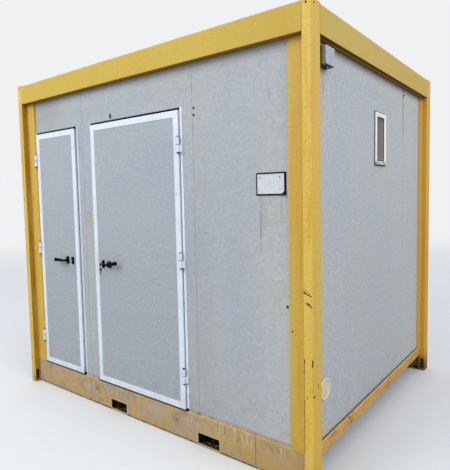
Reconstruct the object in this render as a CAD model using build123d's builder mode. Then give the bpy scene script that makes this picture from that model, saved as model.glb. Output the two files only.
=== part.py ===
from build123d import *
import math
import os

os.makedirs("parts", exist_ok=True)

# All sizes are in millimetres. X runs along the front, Y from front to back, Z up.
# "Across" is measured from a corner along the front, "in" is measured inward from the front.

# Overall size
cabin_length = 2800
cabin_width = 2300
cabin_height = 2600

# Folded sheet steel of the frame
sheet = 4
bend_radius = 6

# Corner posts: a box corner with a set-back flange along each wall
post_front_face = 57
post_side_face = 102
flange_recess = 43
front_flange_edge = 167
side_flange_edge = 155
foot_thickness = 10
cap_thickness = 4
lifting_hole_radius = 15
tag_hole_radius = 6
tag_hole_drop = 21
tag_hole_inset = 30
lashing_slot_width = 30
lashing_slot_height = 88
lashing_slot_start = 22
lashing_slot_corner = 6

# Rails
top_rail_height = 154
top_rail_depth = 102
rail_lip = 15
rail_recess = 45
front_sill = 203
front_rail_bottom = 2
side_sill = 215
side_rail_height = 77
rail_foot_flange = 60

# Walls, floor and roof
wall_recess = 58
wall_thickness = 60
wall_tuck = 58
ceiling_thickness = 60
deck_thickness = 20
deck_side_gap = 2
deck_end_gap = 0.5
joist_height = 95
joist_width = 50
joist_sheet = 3
joist_count = 7
joist_spacing = 390
roof_sheet = 2
roof_rib_height = 22
roof_rib_pitch = 200
roof_rib_top = 40
roof_rib_foot = 70
roof_edge_gap = 1
panel_joint_width = 3
panel_joint_depth = 2
panel_joints_front = (812, 1950)
panel_joint_side = 1700

# Fork pockets, measured from the middle of the cabin to the middle of each
fork_pocket_offsets = (-252, 630)
fork_pocket_width = 180
fork_pocket_height = 74

# Doors, measured from the left end; the gaps lie between the leaf and its frame, left then right
door_bottom = 209
door_top = 2176
door_1_right = 722
door_2_left = 929
door_2_right = 1835
door_1_gaps = (8, 18)
door_2_gaps = (8, 11)
door_1_strips = (5, 22)
door_2_strips = (3, 17)
head_gap = 16
head_lining = 2
leaf_proud = 12
leaf_thickness = 42
border_width = 42
border_sheet = 2
stop_gap = 5
stop_overlap = 11
strip_proud = 4

# Hinges: a lower knuckle on the frame and an upper one on the leaf
hinge_radius = 9
hinge_standoff = 1
hinge_pin_radius = 5
hinge_pin_clearance = 0.5
hinge_pin_length = 36
knuckle_height = 50
knuckle_gap = 1
hinge_plate = 3
hinge_plate_leaf = 26
hinge_heights = (1957, 1211, 442)

# Lever handles: a round neck that bends and grows into an oval grip
lever_height = 1129
door_1_spindle = 567
door_2_spindle = 1097
door_1_lever_rise = 0
door_2_lever_rise = 10
lever_length = 128
lever_reach = 39.5
lever_end_gap = 1
neck_radius = 9
neck_bend = 12
waist_distance = 40
waist_depth = 15
waist_height = 19
grip_distance = 105
grip_depth = 17
grip_height = 29
grip_tip_radius = 4
spindle_radius = 4
spindle_clearance = 1

# Lock furniture: a rose round each spindle and a plate round each lock cylinder
door_1_rose = (36, 66)
door_2_rose = (54, 54)
lock_plate = (30, 62)
plate_thickness = 9
plate_taper = 12
plate_end_flat = 1
rose_bore_clearance = 0.5
lock_offset = 70
cylinder_radius = 8.5
cylinder_width = 10
cylinder_drop = 24
cylinder_proud = 3
cylinder_clearance = 0.5

# Window in the right wall, measured from the front and down from the top rail
window_front = 1058
window_back = 1272
window_drop = 259
window_height = 361
window_stile = 36
window_rail = 27
window_frame_proud = 8
window_bead = 8
window_bead_setback = 2
window_liner = 18
window_glass = 6
window_glass_setback = 4
window_sill_height = 14
window_sill_nose = 5
window_sill_reach = 8

# Junction box under the top rail and round cover low down, both on the right wall
box_front = 180
box_back = 291
box_drop = 28
box_height = 104
box_reach = 53
box_corner_radius = 8
box_lid = 14
box_lid_inset = 2
box_lid_round = 4
gland_radius = 11
gland_length = 9
cover_centre_in = 250
cover_centre_height = 505
cover_radius = 63
cover_thickness = 8
cover_rim = 9
cover_dish = 3
cover_edge = 2

# Levels and lines worked out from the sizes above
half_length = cabin_length / 2
half_width = cabin_width / 2
door_1_left = front_flange_edge + door_1_strips[0] + door_1_gaps[0]
rail_top = cabin_height - cap_thickness
top_rail_underside = rail_top - top_rail_height
wall_top = top_rail_underside + wall_tuck
ceiling_top = wall_top + ceiling_thickness
wall_inside = wall_recess + wall_thickness
deck_bottom = front_sill - deck_thickness
joist_bottom = deck_bottom - joist_height
pocket_floor = front_rail_bottom + bend_radius + sheet
opening_top = door_top + head_gap
leaf_front = wall_recess - leaf_proud
leaf_back = leaf_front + leaf_thickness
stop_front = leaf_back + stop_gap
hinge_line = leaf_front - hinge_radius - hinge_standoff
strip_front = wall_recess - strip_proud
window_top = top_rail_underside - window_drop
window_bottom = window_top - window_height
box_top = top_rail_underside - box_drop
box_bottom = box_top - box_height


def across(distance):
    """World X of a distance measured from the left end of the cabin."""
    return distance - half_length


def inward(distance):
    """World Y of a distance measured inward from the front."""
    return distance - half_width


def corner_point(side, end, along_front, along_side):
    """World X and Y of a point near one corner; side is -1 or 1 for left or right, end for front or back."""
    return (side * (half_length - along_front), end * (half_width - along_side))


def folded_section(plane, points, inside):
    """Closed section of a sheet folded along the given outer line."""
    with BuildSketch(plane) as section:
        with BuildLine():
            FilletPolyline(*points, radius=bend_radius)
            offset(amount=sheet, side=inside)
        make_face()
    return section.sketch


def save(builder, label):
    """Label one finished sub-part and write its file."""
    builder.part.label = label
    export_step(builder.part, f"parts/{label}.step")


# Corner posts
# The outer line of the fold, as distances along the front and along the side.
post_line = (
    (front_flange_edge, wall_recess),
    (front_flange_edge, flange_recess),
    (post_front_face, flange_recess),
    (post_front_face, 0),
    (0, 0),
    (0, post_side_face),
    (flange_recess, post_side_face),
    (flange_recess, side_flange_edge),
    (wall_recess, side_flange_edge),
)
post_height = top_rail_underside - front_sill
for side, end, label in (
    (-1, -1, "post_front_left"),
    (1, -1, "post_front_right"),
    (-1, 1, "post_back_left"),
    (1, 1, "post_back_right"),
):
    fold_inside = Side.RIGHT if side * end > 0 else Side.LEFT
    outer_points = [corner_point(side, end, *point) for point in post_line]
    box_middle = corner_point(side, end, post_front_face / 2, post_side_face / 2)
    with BuildPart() as post:
        # Long folded stretch between the bottom and top boxes
        extrude(folded_section(Plane.XY.offset(front_sill), outer_points, fold_inside), amount=post_height)
        # The side flange stands on the side rail, which is higher than the front rail
        flange_middle = corner_point(side, end, wall_recess / 2, (post_side_face + side_flange_edge) / 2)
        with BuildSketch(Plane.XY.offset(front_sill)) as notch:
            with Locations(flange_middle):
                Rectangle(wall_recess, side_flange_edge - post_side_face)
        extrude(amount=side_sill - front_sill, mode=Mode.SUBTRACT)
        # Closed boxes at the foot and at the head
        for box_base, box_rise in (
            (foot_thickness, front_sill - foot_thickness),
            (top_rail_underside, top_rail_height),
        ):
            with BuildSketch(Plane.XY.offset(box_base)) as tube:
                with Locations(box_middle):
                    outline = Rectangle(post_front_face, post_side_face)
                    fillet(outline.vertices(), radius=bend_radius)
                    Rectangle(post_front_face - 2 * sheet, post_side_face - 2 * sheet, mode=Mode.SUBTRACT)
            extrude(amount=box_rise)
        # Foot plate and top plate with a lifting hole
        with BuildSketch(Plane.XY) as foot:
            with Locations(box_middle):
                Rectangle(post_front_face, post_side_face)
        extrude(amount=foot_thickness)
        with BuildSketch(Plane.XY.offset(rail_top)) as cap:
            with Locations(box_middle):
                Rectangle(post_front_face, post_side_face)
                Circle(lifting_hole_radius, mode=Mode.SUBTRACT)
        extrude(amount=cap_thickness)
        # Lashing slots in the two faces of the foot that look along the walls
        slot_middle_z = lashing_slot_start + lashing_slot_height / 2
        slot_middle = sheet * 2 + lashing_slot_width / 2
        front_slot = corner_point(side, end, post_front_face, slot_middle)
        side_slot = corner_point(side, end, slot_middle, post_side_face)
        for slot_origin, slot_normal in ((front_slot, (side, 0, 0)), (side_slot, (0, end, 0))):
            slot_plane = Plane(origin=(*slot_origin, slot_middle_z), x_dir=(0, 0, 1), z_dir=slot_normal)
            with BuildSketch(slot_plane) as slot:
                RectangleRounded(lashing_slot_height, lashing_slot_width, lashing_slot_corner)
            extrude(amount=2 * sheet, both=True, mode=Mode.SUBTRACT)
        # Small holes near the top, one in each outer face
        hole_z = cabin_height - tag_hole_drop
        front_hole = corner_point(side, end, tag_hole_inset, 0)
        side_hole = corner_point(side, end, 0, tag_hole_inset)
        for hole_origin, hole_normal in ((front_hole, (0, end, 0)), (side_hole, (side, 0, 0))):
            with BuildSketch(Plane(origin=(*hole_origin, hole_z), z_dir=hole_normal)) as hole:
                Circle(tag_hole_radius)
            extrude(amount=2 * sheet, both=True, mode=Mode.SUBTRACT)
    save(post, label)


# Top rails: a channel with its web outside, its foot turned up against the wall and its head
# turned down on the ceiling
top_line = (
    (wall_recess, top_rail_underside + rail_lip),
    (wall_recess, top_rail_underside),
    (0, top_rail_underside),
    (0, rail_top),
    (top_rail_depth, rail_top),
    (top_rail_depth, ceiling_top),
)
long_run = cabin_length - 2 * post_front_face
short_run = cabin_width - 2 * post_side_face
for end, label in ((-1, "top_rail_front"), (1, "top_rail_back")):
    fold_inside = Side.RIGHT if end < 0 else Side.LEFT
    rail_points = [(end * (half_width - depth), height) for depth, height in top_line]
    with BuildPart() as rail:
        extrude(folded_section(Plane.YZ, rail_points, fold_inside), amount=long_run / 2, both=True)
    save(rail, label)
for side, label in ((-1, "top_rail_left"), (1, "top_rail_right")):
    fold_inside = Side.RIGHT if side < 0 else Side.LEFT
    rail_points = [(side * (half_length - depth), height) for depth, height in top_line]
    with BuildPart() as rail:
        extrude(folded_section(Plane.XZ, rail_points, fold_inside), amount=short_run / 2, both=True)
    save(rail, label)


# Front and back bottom rails: deep channels with the fork pockets cut through their webs
bottom_line = (
    (rail_recess + rail_foot_flange, front_rail_bottom),
    (rail_recess, front_rail_bottom),
    (rail_recess, front_sill),
    (wall_inside, front_sill),
)
pocket_middle = pocket_floor + fork_pocket_height / 2
for end, label in ((-1, "bottom_rail_front"), (1, "bottom_rail_back")):
    fold_inside = Side.RIGHT if end < 0 else Side.LEFT
    rail_points = [(end * (half_width - depth), height) for depth, height in bottom_line]
    web_plane = Plane(origin=(0, end * (half_width - rail_recess), 0), x_dir=(1, 0, 0), z_dir=(0, -1, 0))
    with BuildPart() as rail:
        extrude(folded_section(Plane.YZ, rail_points, fold_inside), amount=long_run / 2, both=True)
        with BuildSketch(web_plane) as pockets:
            with Locations(*[(pocket_offset, pocket_middle) for pocket_offset in fork_pocket_offsets]):
                Rectangle(fork_pocket_width, fork_pocket_height)
        extrude(amount=2 * sheet, both=True, mode=Mode.SUBTRACT)
    save(rail, label)

# Side bottom rails: shallower channels that stay off the ground
side_line = (
    (rail_recess + rail_foot_flange, side_sill - side_rail_height),
    (rail_recess, side_sill - side_rail_height),
    (rail_recess, side_sill),
    (wall_inside, side_sill),
)
for side, label in ((-1, "bottom_rail_left"), (1, "bottom_rail_right")):
    fold_inside = Side.RIGHT if side < 0 else Side.LEFT
    rail_points = [(side * (half_length - depth), height) for depth, height in side_line]
    with BuildPart() as rail:
        extrude(folded_section(Plane.XZ, rail_points, fold_inside), amount=short_run / 2, both=True)
    save(rail, label)


# Fork pocket tubes between the front and back webs
pocket_run = cabin_width - 2 * (rail_recess + sheet)
for pocket_offset, label in zip(fork_pocket_offsets, ("fork_pocket_left", "fork_pocket_right")):
    with BuildPart() as pocket:
        with BuildSketch(Plane.XZ) as tube:
            with Locations((pocket_offset, pocket_middle)):
                Rectangle(fork_pocket_width + 2 * sheet, fork_pocket_height + 2 * sheet)
                Rectangle(fork_pocket_width, fork_pocket_height, mode=Mode.SUBTRACT)
        extrude(amount=pocket_run / 2, both=True)
    save(pocket, label)


# Floor joists, channels that run from the front web to the back web
with BuildPart() as floor_joists:
    with BuildSketch(Plane.XZ) as joist_sections:
        with GridLocations(joist_spacing, 0, joist_count, 1):
            with Locations((0, joist_bottom + joist_height / 2)):
                Rectangle(joist_width, joist_height)
                with Locations((joist_sheet, 0)):
                    Rectangle(joist_width, joist_height - 2 * joist_sheet, mode=Mode.SUBTRACT)
    extrude(amount=pocket_run / 2, both=True)
save(floor_joists, "floor_joists")

# Floor deck, level with the sill of the front rail
with BuildPart() as floor_deck:
    with BuildSketch(Plane.XY.offset(deck_bottom)) as deck:
        Rectangle(cabin_length - 2 * (wall_recess + deck_side_gap), cabin_width - 2 * (wall_inside + deck_end_gap))
    extrude(amount=deck_thickness)
save(floor_deck, "floor_deck")


# Ceiling panel on top of the walls
with BuildPart() as ceiling:
    with BuildSketch(Plane.XY.offset(wall_top)) as ceiling_outline:
        Rectangle(cabin_length - 2 * wall_recess, cabin_width - 2 * wall_recess)
    extrude(amount=ceiling_thickness)
save(ceiling, "ceiling_panel")

# Ribbed roof sheet inside the top rails
roof_length = cabin_length - 2 * (top_rail_depth + roof_edge_gap)
roof_width = cabin_width - 2 * (top_rail_depth + roof_edge_gap)
rib_count = math.floor((roof_length - roof_rib_foot) / roof_rib_pitch)
rib_line = [(-roof_length / 2, ceiling_top)]
for rib in range(rib_count):
    rib_middle = (rib - (rib_count - 1) / 2) * roof_rib_pitch
    rib_line += [
        (rib_middle - roof_rib_foot / 2, ceiling_top),
        (rib_middle - roof_rib_top / 2, ceiling_top + roof_rib_height),
        (rib_middle + roof_rib_top / 2, ceiling_top + roof_rib_height),
        (rib_middle + roof_rib_foot / 2, ceiling_top),
    ]
rib_line.append((roof_length / 2, ceiling_top))
with BuildPart() as roof:
    with BuildSketch(Plane.XZ) as roof_section:
        with BuildLine():
            Polyline(*rib_line)
            offset(amount=roof_sheet, side=Side.LEFT)
        make_face()
    extrude(amount=roof_width / 2, both=True)
save(roof, "roof_sheet")


# Front wall, split beside and over the doorways, with a shallow groove at each panel joint
door_1_wall = (door_1_left - door_1_gaps[0] - door_1_strips[0], door_1_right + door_1_gaps[1] + door_1_strips[1])
door_2_wall = (door_2_left - door_2_gaps[0] - door_2_strips[0], door_2_right + door_2_gaps[1] + door_2_strips[1])
header_bottom = opening_top + head_lining
front_wall_pieces = (
    ("front_wall_left", wall_inside, door_1_wall[0], front_sill),
    ("front_wall_over_door_1", door_1_wall[0], door_1_wall[1], header_bottom),
    ("front_wall_between_doors", door_1_wall[1], door_2_wall[0], front_sill),
    ("front_wall_over_door_2", door_2_wall[0], door_2_wall[1], header_bottom),
    ("front_wall_right", door_2_wall[1], cabin_length - wall_inside, front_sill),
)
for label, start, stop, bottom in front_wall_pieces:
    with BuildPart() as wall:
        with BuildSketch(Plane.XY.offset(bottom)) as wall_plan:
            with Locations((across((start + stop) / 2), inward(wall_recess + wall_thickness / 2))):
                Rectangle(stop - start, wall_thickness)
            for joint in panel_joints_front:
                if start < joint < stop:
                    with Locations((across(joint), inward(wall_recess))):
                        Rectangle(panel_joint_width, 2 * panel_joint_depth, mode=Mode.SUBTRACT)
        extrude(amount=wall_top - bottom)
    save(wall, label)

# Back wall, the same panels seen from behind
with BuildPart() as back_wall:
    with BuildSketch(Plane.XY.offset(front_sill)) as wall_plan:
        with Locations((0, half_width - wall_recess - wall_thickness / 2)):
            Rectangle(cabin_length - 2 * wall_inside, wall_thickness)
        for joint in panel_joints_front:
            with Locations((across(joint), half_width - wall_recess)):
                Rectangle(panel_joint_width, 2 * panel_joint_depth, mode=Mode.SUBTRACT)
    extrude(amount=wall_top - front_sill)
save(back_wall, "back_wall")

# Side walls; the right one is cut through for the window
window_middle = (inward((window_front + window_back) / 2), (window_bottom + window_top) / 2)
window_size = (window_back - window_front, window_top - window_bottom)
hole_size = (window_size[0] - 2 * window_liner, window_size[1] - 2 * window_liner)
for side, label in ((-1, "left_wall"), (1, "right_wall")):
    with BuildPart() as wall:
        with BuildSketch(Plane.XY.offset(side_sill)) as wall_plan:
            with Locations((side * (half_length - wall_recess - wall_thickness / 2), 0)):
                Rectangle(wall_thickness, cabin_width - 2 * wall_recess)
            with Locations((side * (half_length - wall_recess), inward(panel_joint_side))):
                Rectangle(2 * panel_joint_depth, panel_joint_width, mode=Mode.SUBTRACT)
        extrude(amount=wall_top - side_sill)
        if side > 0:
            with BuildSketch(Plane.YZ.offset(half_length - wall_inside)) as window_hole:
                with Locations(window_middle):
                    Rectangle(*hole_size)
            extrude(amount=wall_thickness, mode=Mode.SUBTRACT)
    save(wall, label)


# Door frames: two jambs with their outer strips, a lining at the head, a threshold and a stop all
# round behind the leaf
def door_frame(wall_span, gaps, strips):
    """Frame that lines a doorway; wall_span, gaps and strips are pairs, left then right."""
    start, stop = wall_span
    clear_left = start + strips[0]
    clear_right = stop - strips[1]
    leaf_left = clear_left + gaps[0]
    leaf_right = clear_right - gaps[1]
    strip_plane = Plane(origin=(0, inward(strip_front), 0), x_dir=(1, 0, 0), z_dir=(0, -1, 0))
    lining_plane = Plane(origin=(0, inward(wall_recess + strip_proud), 0), x_dir=(1, 0, 0), z_dir=(0, -1, 0))
    stop_plane = Plane(origin=(0, inward(stop_front), 0), x_dir=(1, 0, 0), z_dir=(0, -1, 0))
    clear_width = clear_right - clear_left
    clear_height = opening_top - front_sill
    clear_middle = (across((clear_left + clear_right) / 2), (front_sill + opening_top) / 2)
    see_through_width = leaf_right - leaf_left - 2 * stop_overlap
    see_through_height = door_top - door_bottom - 2 * stop_overlap
    see_through_middle = (across((leaf_left + leaf_right) / 2), (door_bottom + door_top) / 2)
    with BuildPart() as frame:
        with BuildSketch(strip_plane) as jambs:
            with Locations((across((start + clear_left) / 2), clear_middle[1])):
                Rectangle(clear_left - start, clear_height)
            with Locations((across((stop + clear_right) / 2), clear_middle[1])):
                Rectangle(stop - clear_right, clear_height)
        extrude(amount=-(wall_inside - strip_front))
        with BuildSketch(lining_plane) as lining:
            with Locations((across((start + stop) / 2), opening_top + head_lining / 2)):
                Rectangle(stop - start, head_lining)
        extrude(amount=-(wall_inside - wall_recess - strip_proud))
        with BuildSketch(stop_plane) as stops:
            with Locations(clear_middle):
                Rectangle(clear_width, clear_height)
            with Locations(see_through_middle):
                Rectangle(see_through_width, see_through_height, mode=Mode.SUBTRACT)
        extrude(amount=-(wall_inside - stop_front))
    return frame


save(door_frame(door_1_wall, door_1_gaps, door_1_strips), "door_1_frame")
save(door_frame(door_2_wall, door_2_gaps, door_2_strips), "door_2_frame")


# Door leaves: an insulated core edged with a channel border
def door_leaf(left, right, spindle, lock):
    """Core of a door, drilled for the lever's spindle and the lock."""
    face_plane = Plane(origin=(0, inward(leaf_front + border_sheet), 0), x_dir=(1, 0, 0), z_dir=(0, -1, 0))
    width = right - left
    height = door_top - door_bottom
    middle = (across((left + right) / 2), (door_bottom + door_top) / 2)
    with BuildPart() as leaf:
        with BuildSketch(face_plane) as core:
            with Locations(middle):
                Rectangle(width - 2 * border_sheet, height - 2 * border_sheet)
            with Locations((across(spindle), lever_height)):
                Circle(spindle_radius + spindle_clearance, mode=Mode.SUBTRACT)
            with Locations((across(lock), lever_height)):
                Circle(cylinder_radius + cylinder_clearance, mode=Mode.SUBTRACT)
            with Locations((across(lock), lever_height - cylinder_drop / 2)):
                stem_width = cylinder_width + 2 * cylinder_clearance
                Rectangle(stem_width, cylinder_drop + 2 * cylinder_clearance, mode=Mode.SUBTRACT)
        extrude(amount=-(leaf_thickness - 2 * border_sheet))
    return leaf


def door_border(left, right):
    """Channel that wraps all four edges of a leaf."""
    face_plane = Plane(origin=(0, inward(leaf_front), 0), x_dir=(1, 0, 0), z_dir=(0, -1, 0))
    core_plane = Plane(origin=(0, inward(leaf_front + border_sheet), 0), x_dir=(1, 0, 0), z_dir=(0, -1, 0))
    width = right - left
    height = door_top - door_bottom
    middle = (across((left + right) / 2), (door_bottom + door_top) / 2)
    with BuildPart() as border:
        with BuildSketch(face_plane) as ring:
            with Locations(middle):
                Rectangle(width, height)
                Rectangle(width - 2 * border_width, height - 2 * border_width, mode=Mode.SUBTRACT)
        extrude(amount=-leaf_thickness)
        with BuildSketch(core_plane) as channel:
            with Locations(middle):
                Rectangle(width - 2 * border_sheet, height - 2 * border_sheet)
        extrude(amount=-(leaf_thickness - 2 * border_sheet), mode=Mode.SUBTRACT)
    return border


door_1_lock = door_1_spindle + lock_offset
door_2_lock = door_2_spindle - lock_offset
save(door_leaf(door_1_left, door_1_right, door_1_spindle, door_1_lock), "door_1_leaf")
save(door_leaf(door_2_left, door_2_right, door_2_spindle, door_2_lock), "door_2_leaf")
save(door_border(door_1_left, door_1_right), "door_1_border")
save(door_border(door_2_left, door_2_right), "door_2_border")


# Hinges: lift-off pairs, the pin standing in the frame's knuckle
door_1_axis = door_1_left - door_1_gaps[0] / 2
door_2_axis = door_2_right + door_2_gaps[1] / 2


def hinge_on_frame(axis, strip_edge):
    """Lower knuckles with their pins, each on a plate that runs back to the frame's strip."""
    plate_front = leaf_front - hinge_plate
    plate_start = across(axis)
    plate_stop = across(strip_edge)
    with BuildPart() as halves:
        for height in hinge_heights:
            base = height - knuckle_height - knuckle_gap / 2
            with BuildSketch(Plane.XY.offset(base)) as knuckle:
                with Locations((across(axis), inward(hinge_line))):
                    Circle(hinge_radius)
                with Locations(((plate_start + plate_stop) / 2, inward((plate_front + strip_front) / 2))):
                    Rectangle(abs(plate_stop - plate_start), strip_front - plate_front)
            extrude(amount=knuckle_height)
            with BuildSketch(Plane.XY.offset(height - knuckle_gap / 2)) as pin:
                with Locations((across(axis), inward(hinge_line))):
                    Circle(hinge_pin_radius)
            extrude(amount=hinge_pin_length)
    return halves


def hinge_on_leaf(axis, direction):
    """Upper knuckles, bored for the pin, each on a plate that lies on the leaf's border."""
    plate_middle = across(axis) + direction * (hinge_radius + hinge_plate_leaf) / 2
    with BuildPart() as halves:
        for height in hinge_heights:
            with BuildSketch(Plane.XY.offset(height + knuckle_gap / 2)) as knuckle:
                with Locations((across(axis), inward(hinge_line))):
                    Circle(hinge_radius)
                with Locations((plate_middle, inward(leaf_front - hinge_plate / 2))):
                    Rectangle(hinge_plate_leaf, hinge_plate)
                with Locations((across(axis), inward(hinge_line))):
                    Circle(hinge_pin_radius + hinge_pin_clearance, mode=Mode.SUBTRACT)
            extrude(amount=knuckle_height)
    return halves


save(hinge_on_frame(door_1_axis, door_1_wall[0]), "door_1_hinge_frame_halves")
save(hinge_on_leaf(door_1_axis, 1), "door_1_hinge_leaf_halves")
save(hinge_on_frame(door_2_axis, door_2_wall[1]), "door_2_hinge_frame_halves")
save(hinge_on_leaf(door_2_axis, -1), "door_2_hinge_leaf_halves")


# Lock furniture: a rose round the spindle and a plate round the lock, on both faces of the leaf
def lock_furniture(spindle, lock, rose):
    """Roses and lock plates with a profile lock cylinder through the leaf."""
    skin_front = leaf_front + border_sheet
    skin_back = leaf_back - border_sheet
    end_front = skin_front - plate_thickness - cylinder_proud
    end_plane = Plane(origin=(0, inward(end_front), 0), x_dir=(1, 0, 0), z_dir=(0, -1, 0))
    cylinder_length = skin_back - skin_front + 2 * (plate_thickness + cylinder_proud)
    with BuildPart() as furniture:
        for skin, outward in ((skin_front, -1), (skin_back, 1)):
            skin_plane = Plane(origin=(0, inward(skin), lever_height), x_dir=(1, 0, 0), z_dir=(0, outward, 0))
            with BuildSketch(skin_plane) as plates:
                for centre, (width, height) in ((spindle, rose), (lock, lock_plate)):
                    with Locations((across(centre), 0)):
                        RectangleRounded(width, height, (width - plate_end_flat) / 2)
            extrude(amount=plate_thickness, taper=plate_taper)
        with BuildSketch(end_plane) as bore:
            with Locations((across(spindle), lever_height)):
                Circle(neck_radius + rose_bore_clearance)
        extrude(amount=-cylinder_length, mode=Mode.SUBTRACT)
        with BuildSketch(end_plane) as cylinder:
            with Locations((across(lock), lever_height)):
                Circle(cylinder_radius)
            with Locations((across(lock), lever_height - cylinder_drop / 2)):
                Rectangle(cylinder_width, cylinder_drop)
        extrude(amount=-cylinder_length)
    return furniture


save(lock_furniture(door_1_spindle, door_1_lock, door_1_rose), "door_1_lock_furniture")
save(lock_furniture(door_2_spindle, door_2_lock, door_2_rose), "door_2_lock_furniture")


# Lever handles: outer and inner levers on one spindle
def lever_pair(spindle, direction, rise):
    """Both levers of a door; direction is -1 or 1 along the leaf, rise the angle above level."""
    skin_front = leaf_front + border_sheet
    skin_back = leaf_back - border_sheet
    slope = math.radians(rise)
    pivot = Vector(across(spindle), 0, lever_height)
    along = Vector(direction * math.cos(slope), 0, math.sin(slope))
    lever_plane = Plane(origin=pivot, x_dir=along, z_dir=along.cross(Vector(0, 1, 0)))
    rod_plane = Plane(origin=pivot + Vector(0, inward(skin_front), 0), x_dir=(1, 0, 0), z_dir=(0, -1, 0))
    grip_start = 2 * neck_bend
    grip_sections = (
        (grip_start, 2 * neck_radius, 2 * neck_radius),
        (waist_distance, waist_depth, waist_height),
        (grip_distance, grip_depth, grip_height),
        (lever_length, grip_depth, grip_height),
    )
    with BuildPart() as levers:
        with BuildSketch(rod_plane) as rod:
            Circle(spindle_radius)
        extrude(amount=lever_reach / 2)
        extrude(rod.sketch, amount=-(skin_back - skin_front + lever_reach / 2))
        for skin, outward in ((skin_front, -1), (skin_back, 1)):
            neck = inward(skin + outward * lever_end_gap)
            line = inward(skin + outward * lever_reach)
            with BuildLine(lever_plane) as route:
                FilletPolyline((0, neck), (0, line), (grip_start, line), radius=neck_bend)
            with BuildSketch(Plane(origin=pivot + Vector(0, neck, 0), z_dir=(0, outward, 0))) as bar:
                Circle(neck_radius)
            sweep(path=route.line)
            for distance, depth, height in grip_sections:
                section_origin = pivot + along * distance + Vector(0, line, 0)
                with BuildSketch(Plane(origin=section_origin, x_dir=(0, 1, 0), z_dir=along)) as grip:
                    Ellipse(depth / 2, height / 2)
            loft(ruled=True)
        tip_edges = levers.edges().group_by(Axis(pivot, along))[-1]
        fillet(tip_edges, radius=grip_tip_radius)
    return levers


save(lever_pair(door_1_spindle, -1, door_1_lever_rise), "door_1_levers")
save(lever_pair(door_2_spindle, 1, door_2_lever_rise), "door_2_levers")


# Window: a flange on each face of the wall, a glazing bead and a liner through the wall, with a
# small sill below
wall_face = half_length - wall_recess
room_face = half_length - wall_inside
flange_face = wall_face + window_frame_proud
pane_size = (window_size[0] - 2 * window_stile, window_size[1] - 2 * window_rail)
bead_size = (pane_size[0] + 2 * window_bead, pane_size[1] + 2 * window_bead)
with BuildPart() as window_frame:
    for start, rise, outer_size, inner_size in (
        (wall_face, window_frame_proud, window_size, bead_size),
        (wall_face, window_frame_proud - window_bead_setback, bead_size, pane_size),
        (room_face, wall_thickness, hole_size, pane_size),
        (room_face, -window_frame_proud, window_size, pane_size),
    ):
        with BuildSketch(Plane.YZ.offset(start)) as ring:
            with Locations(window_middle):
                Rectangle(*outer_size)
                Rectangle(*inner_size, mode=Mode.SUBTRACT)
        extrude(amount=rise)
    with BuildSketch(Plane.XZ.offset(-inward(window_front))) as sill:
        with BuildLine():
            Polyline(
                (flange_face, window_bottom),
                (flange_face, window_bottom + window_sill_height),
                (flange_face + window_sill_reach, window_bottom + window_sill_nose),
                (flange_face + window_sill_reach, window_bottom),
                close=True,
            )
        make_face()
    extrude(amount=-window_size[0])
save(window_frame, "window_frame")

with BuildPart() as window_pane:
    with BuildSketch(Plane.YZ.offset(flange_face - window_glass_setback)) as pane:
        with Locations(window_middle):
            Rectangle(*pane_size)
    extrude(amount=-window_glass)
save(window_pane, "window_glass")


# Junction box with a rounded lid and a cable gland beneath
box_size = (box_back - box_front, box_height)
box_middle = (inward((box_front + box_back) / 2), (box_bottom + box_top) / 2)
with BuildPart() as junction_box:
    with BuildSketch(Plane.YZ.offset(wall_face)) as box_outline:
        with Locations(box_middle):
            RectangleRounded(*box_size, box_corner_radius)
    extrude(amount=box_reach - box_lid)
    with BuildSketch(Plane.YZ.offset(wall_face + box_reach - box_lid)) as lid_outline:
        with Locations(box_middle):
            lid_size = (box_size[0] - 2 * box_lid_inset, box_size[1] - 2 * box_lid_inset)
            RectangleRounded(*lid_size, box_corner_radius)
    extrude(amount=box_lid)
    lid_edges = junction_box.faces().sort_by(Axis.X)[-1].edges()
    fillet(lid_edges, radius=box_lid_round)
    with BuildSketch(Plane.XY.offset(box_bottom)) as gland_outline:
        with Locations((wall_face + box_reach / 2, box_middle[0])):
            RegularPolygon(gland_radius, 6)
    extrude(amount=-gland_length)
save(junction_box, "junction_box")

# Round cover: a shallow dished disc with a raised rim, turned about its own axis
cover_middle = (wall_face, inward(cover_centre_in), cover_centre_height)
with BuildPart() as round_cover:
    with BuildSketch(Plane(origin=cover_middle, x_dir=(0, 1, 0), z_dir=(0, 0, -1))) as half_section:
        with BuildLine():
            Polyline(
                (0, 0),
                (cover_radius, 0),
                (cover_radius, cover_thickness - cover_edge),
                (cover_radius - cover_edge, cover_thickness),
                (cover_radius - cover_rim, cover_thickness),
                (cover_radius - cover_rim - cover_edge, cover_thickness - cover_dish),
                (0, cover_thickness - cover_dish),
                close=True,
            )
        make_face()
    revolve(axis=Axis(cover_middle, (1, 0, 0)))
save(round_cover, "round_cover")
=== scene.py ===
import math
import random
from functools import reduce

import bmesh
import bpy
from mathutils import Matrix, Vector


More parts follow.
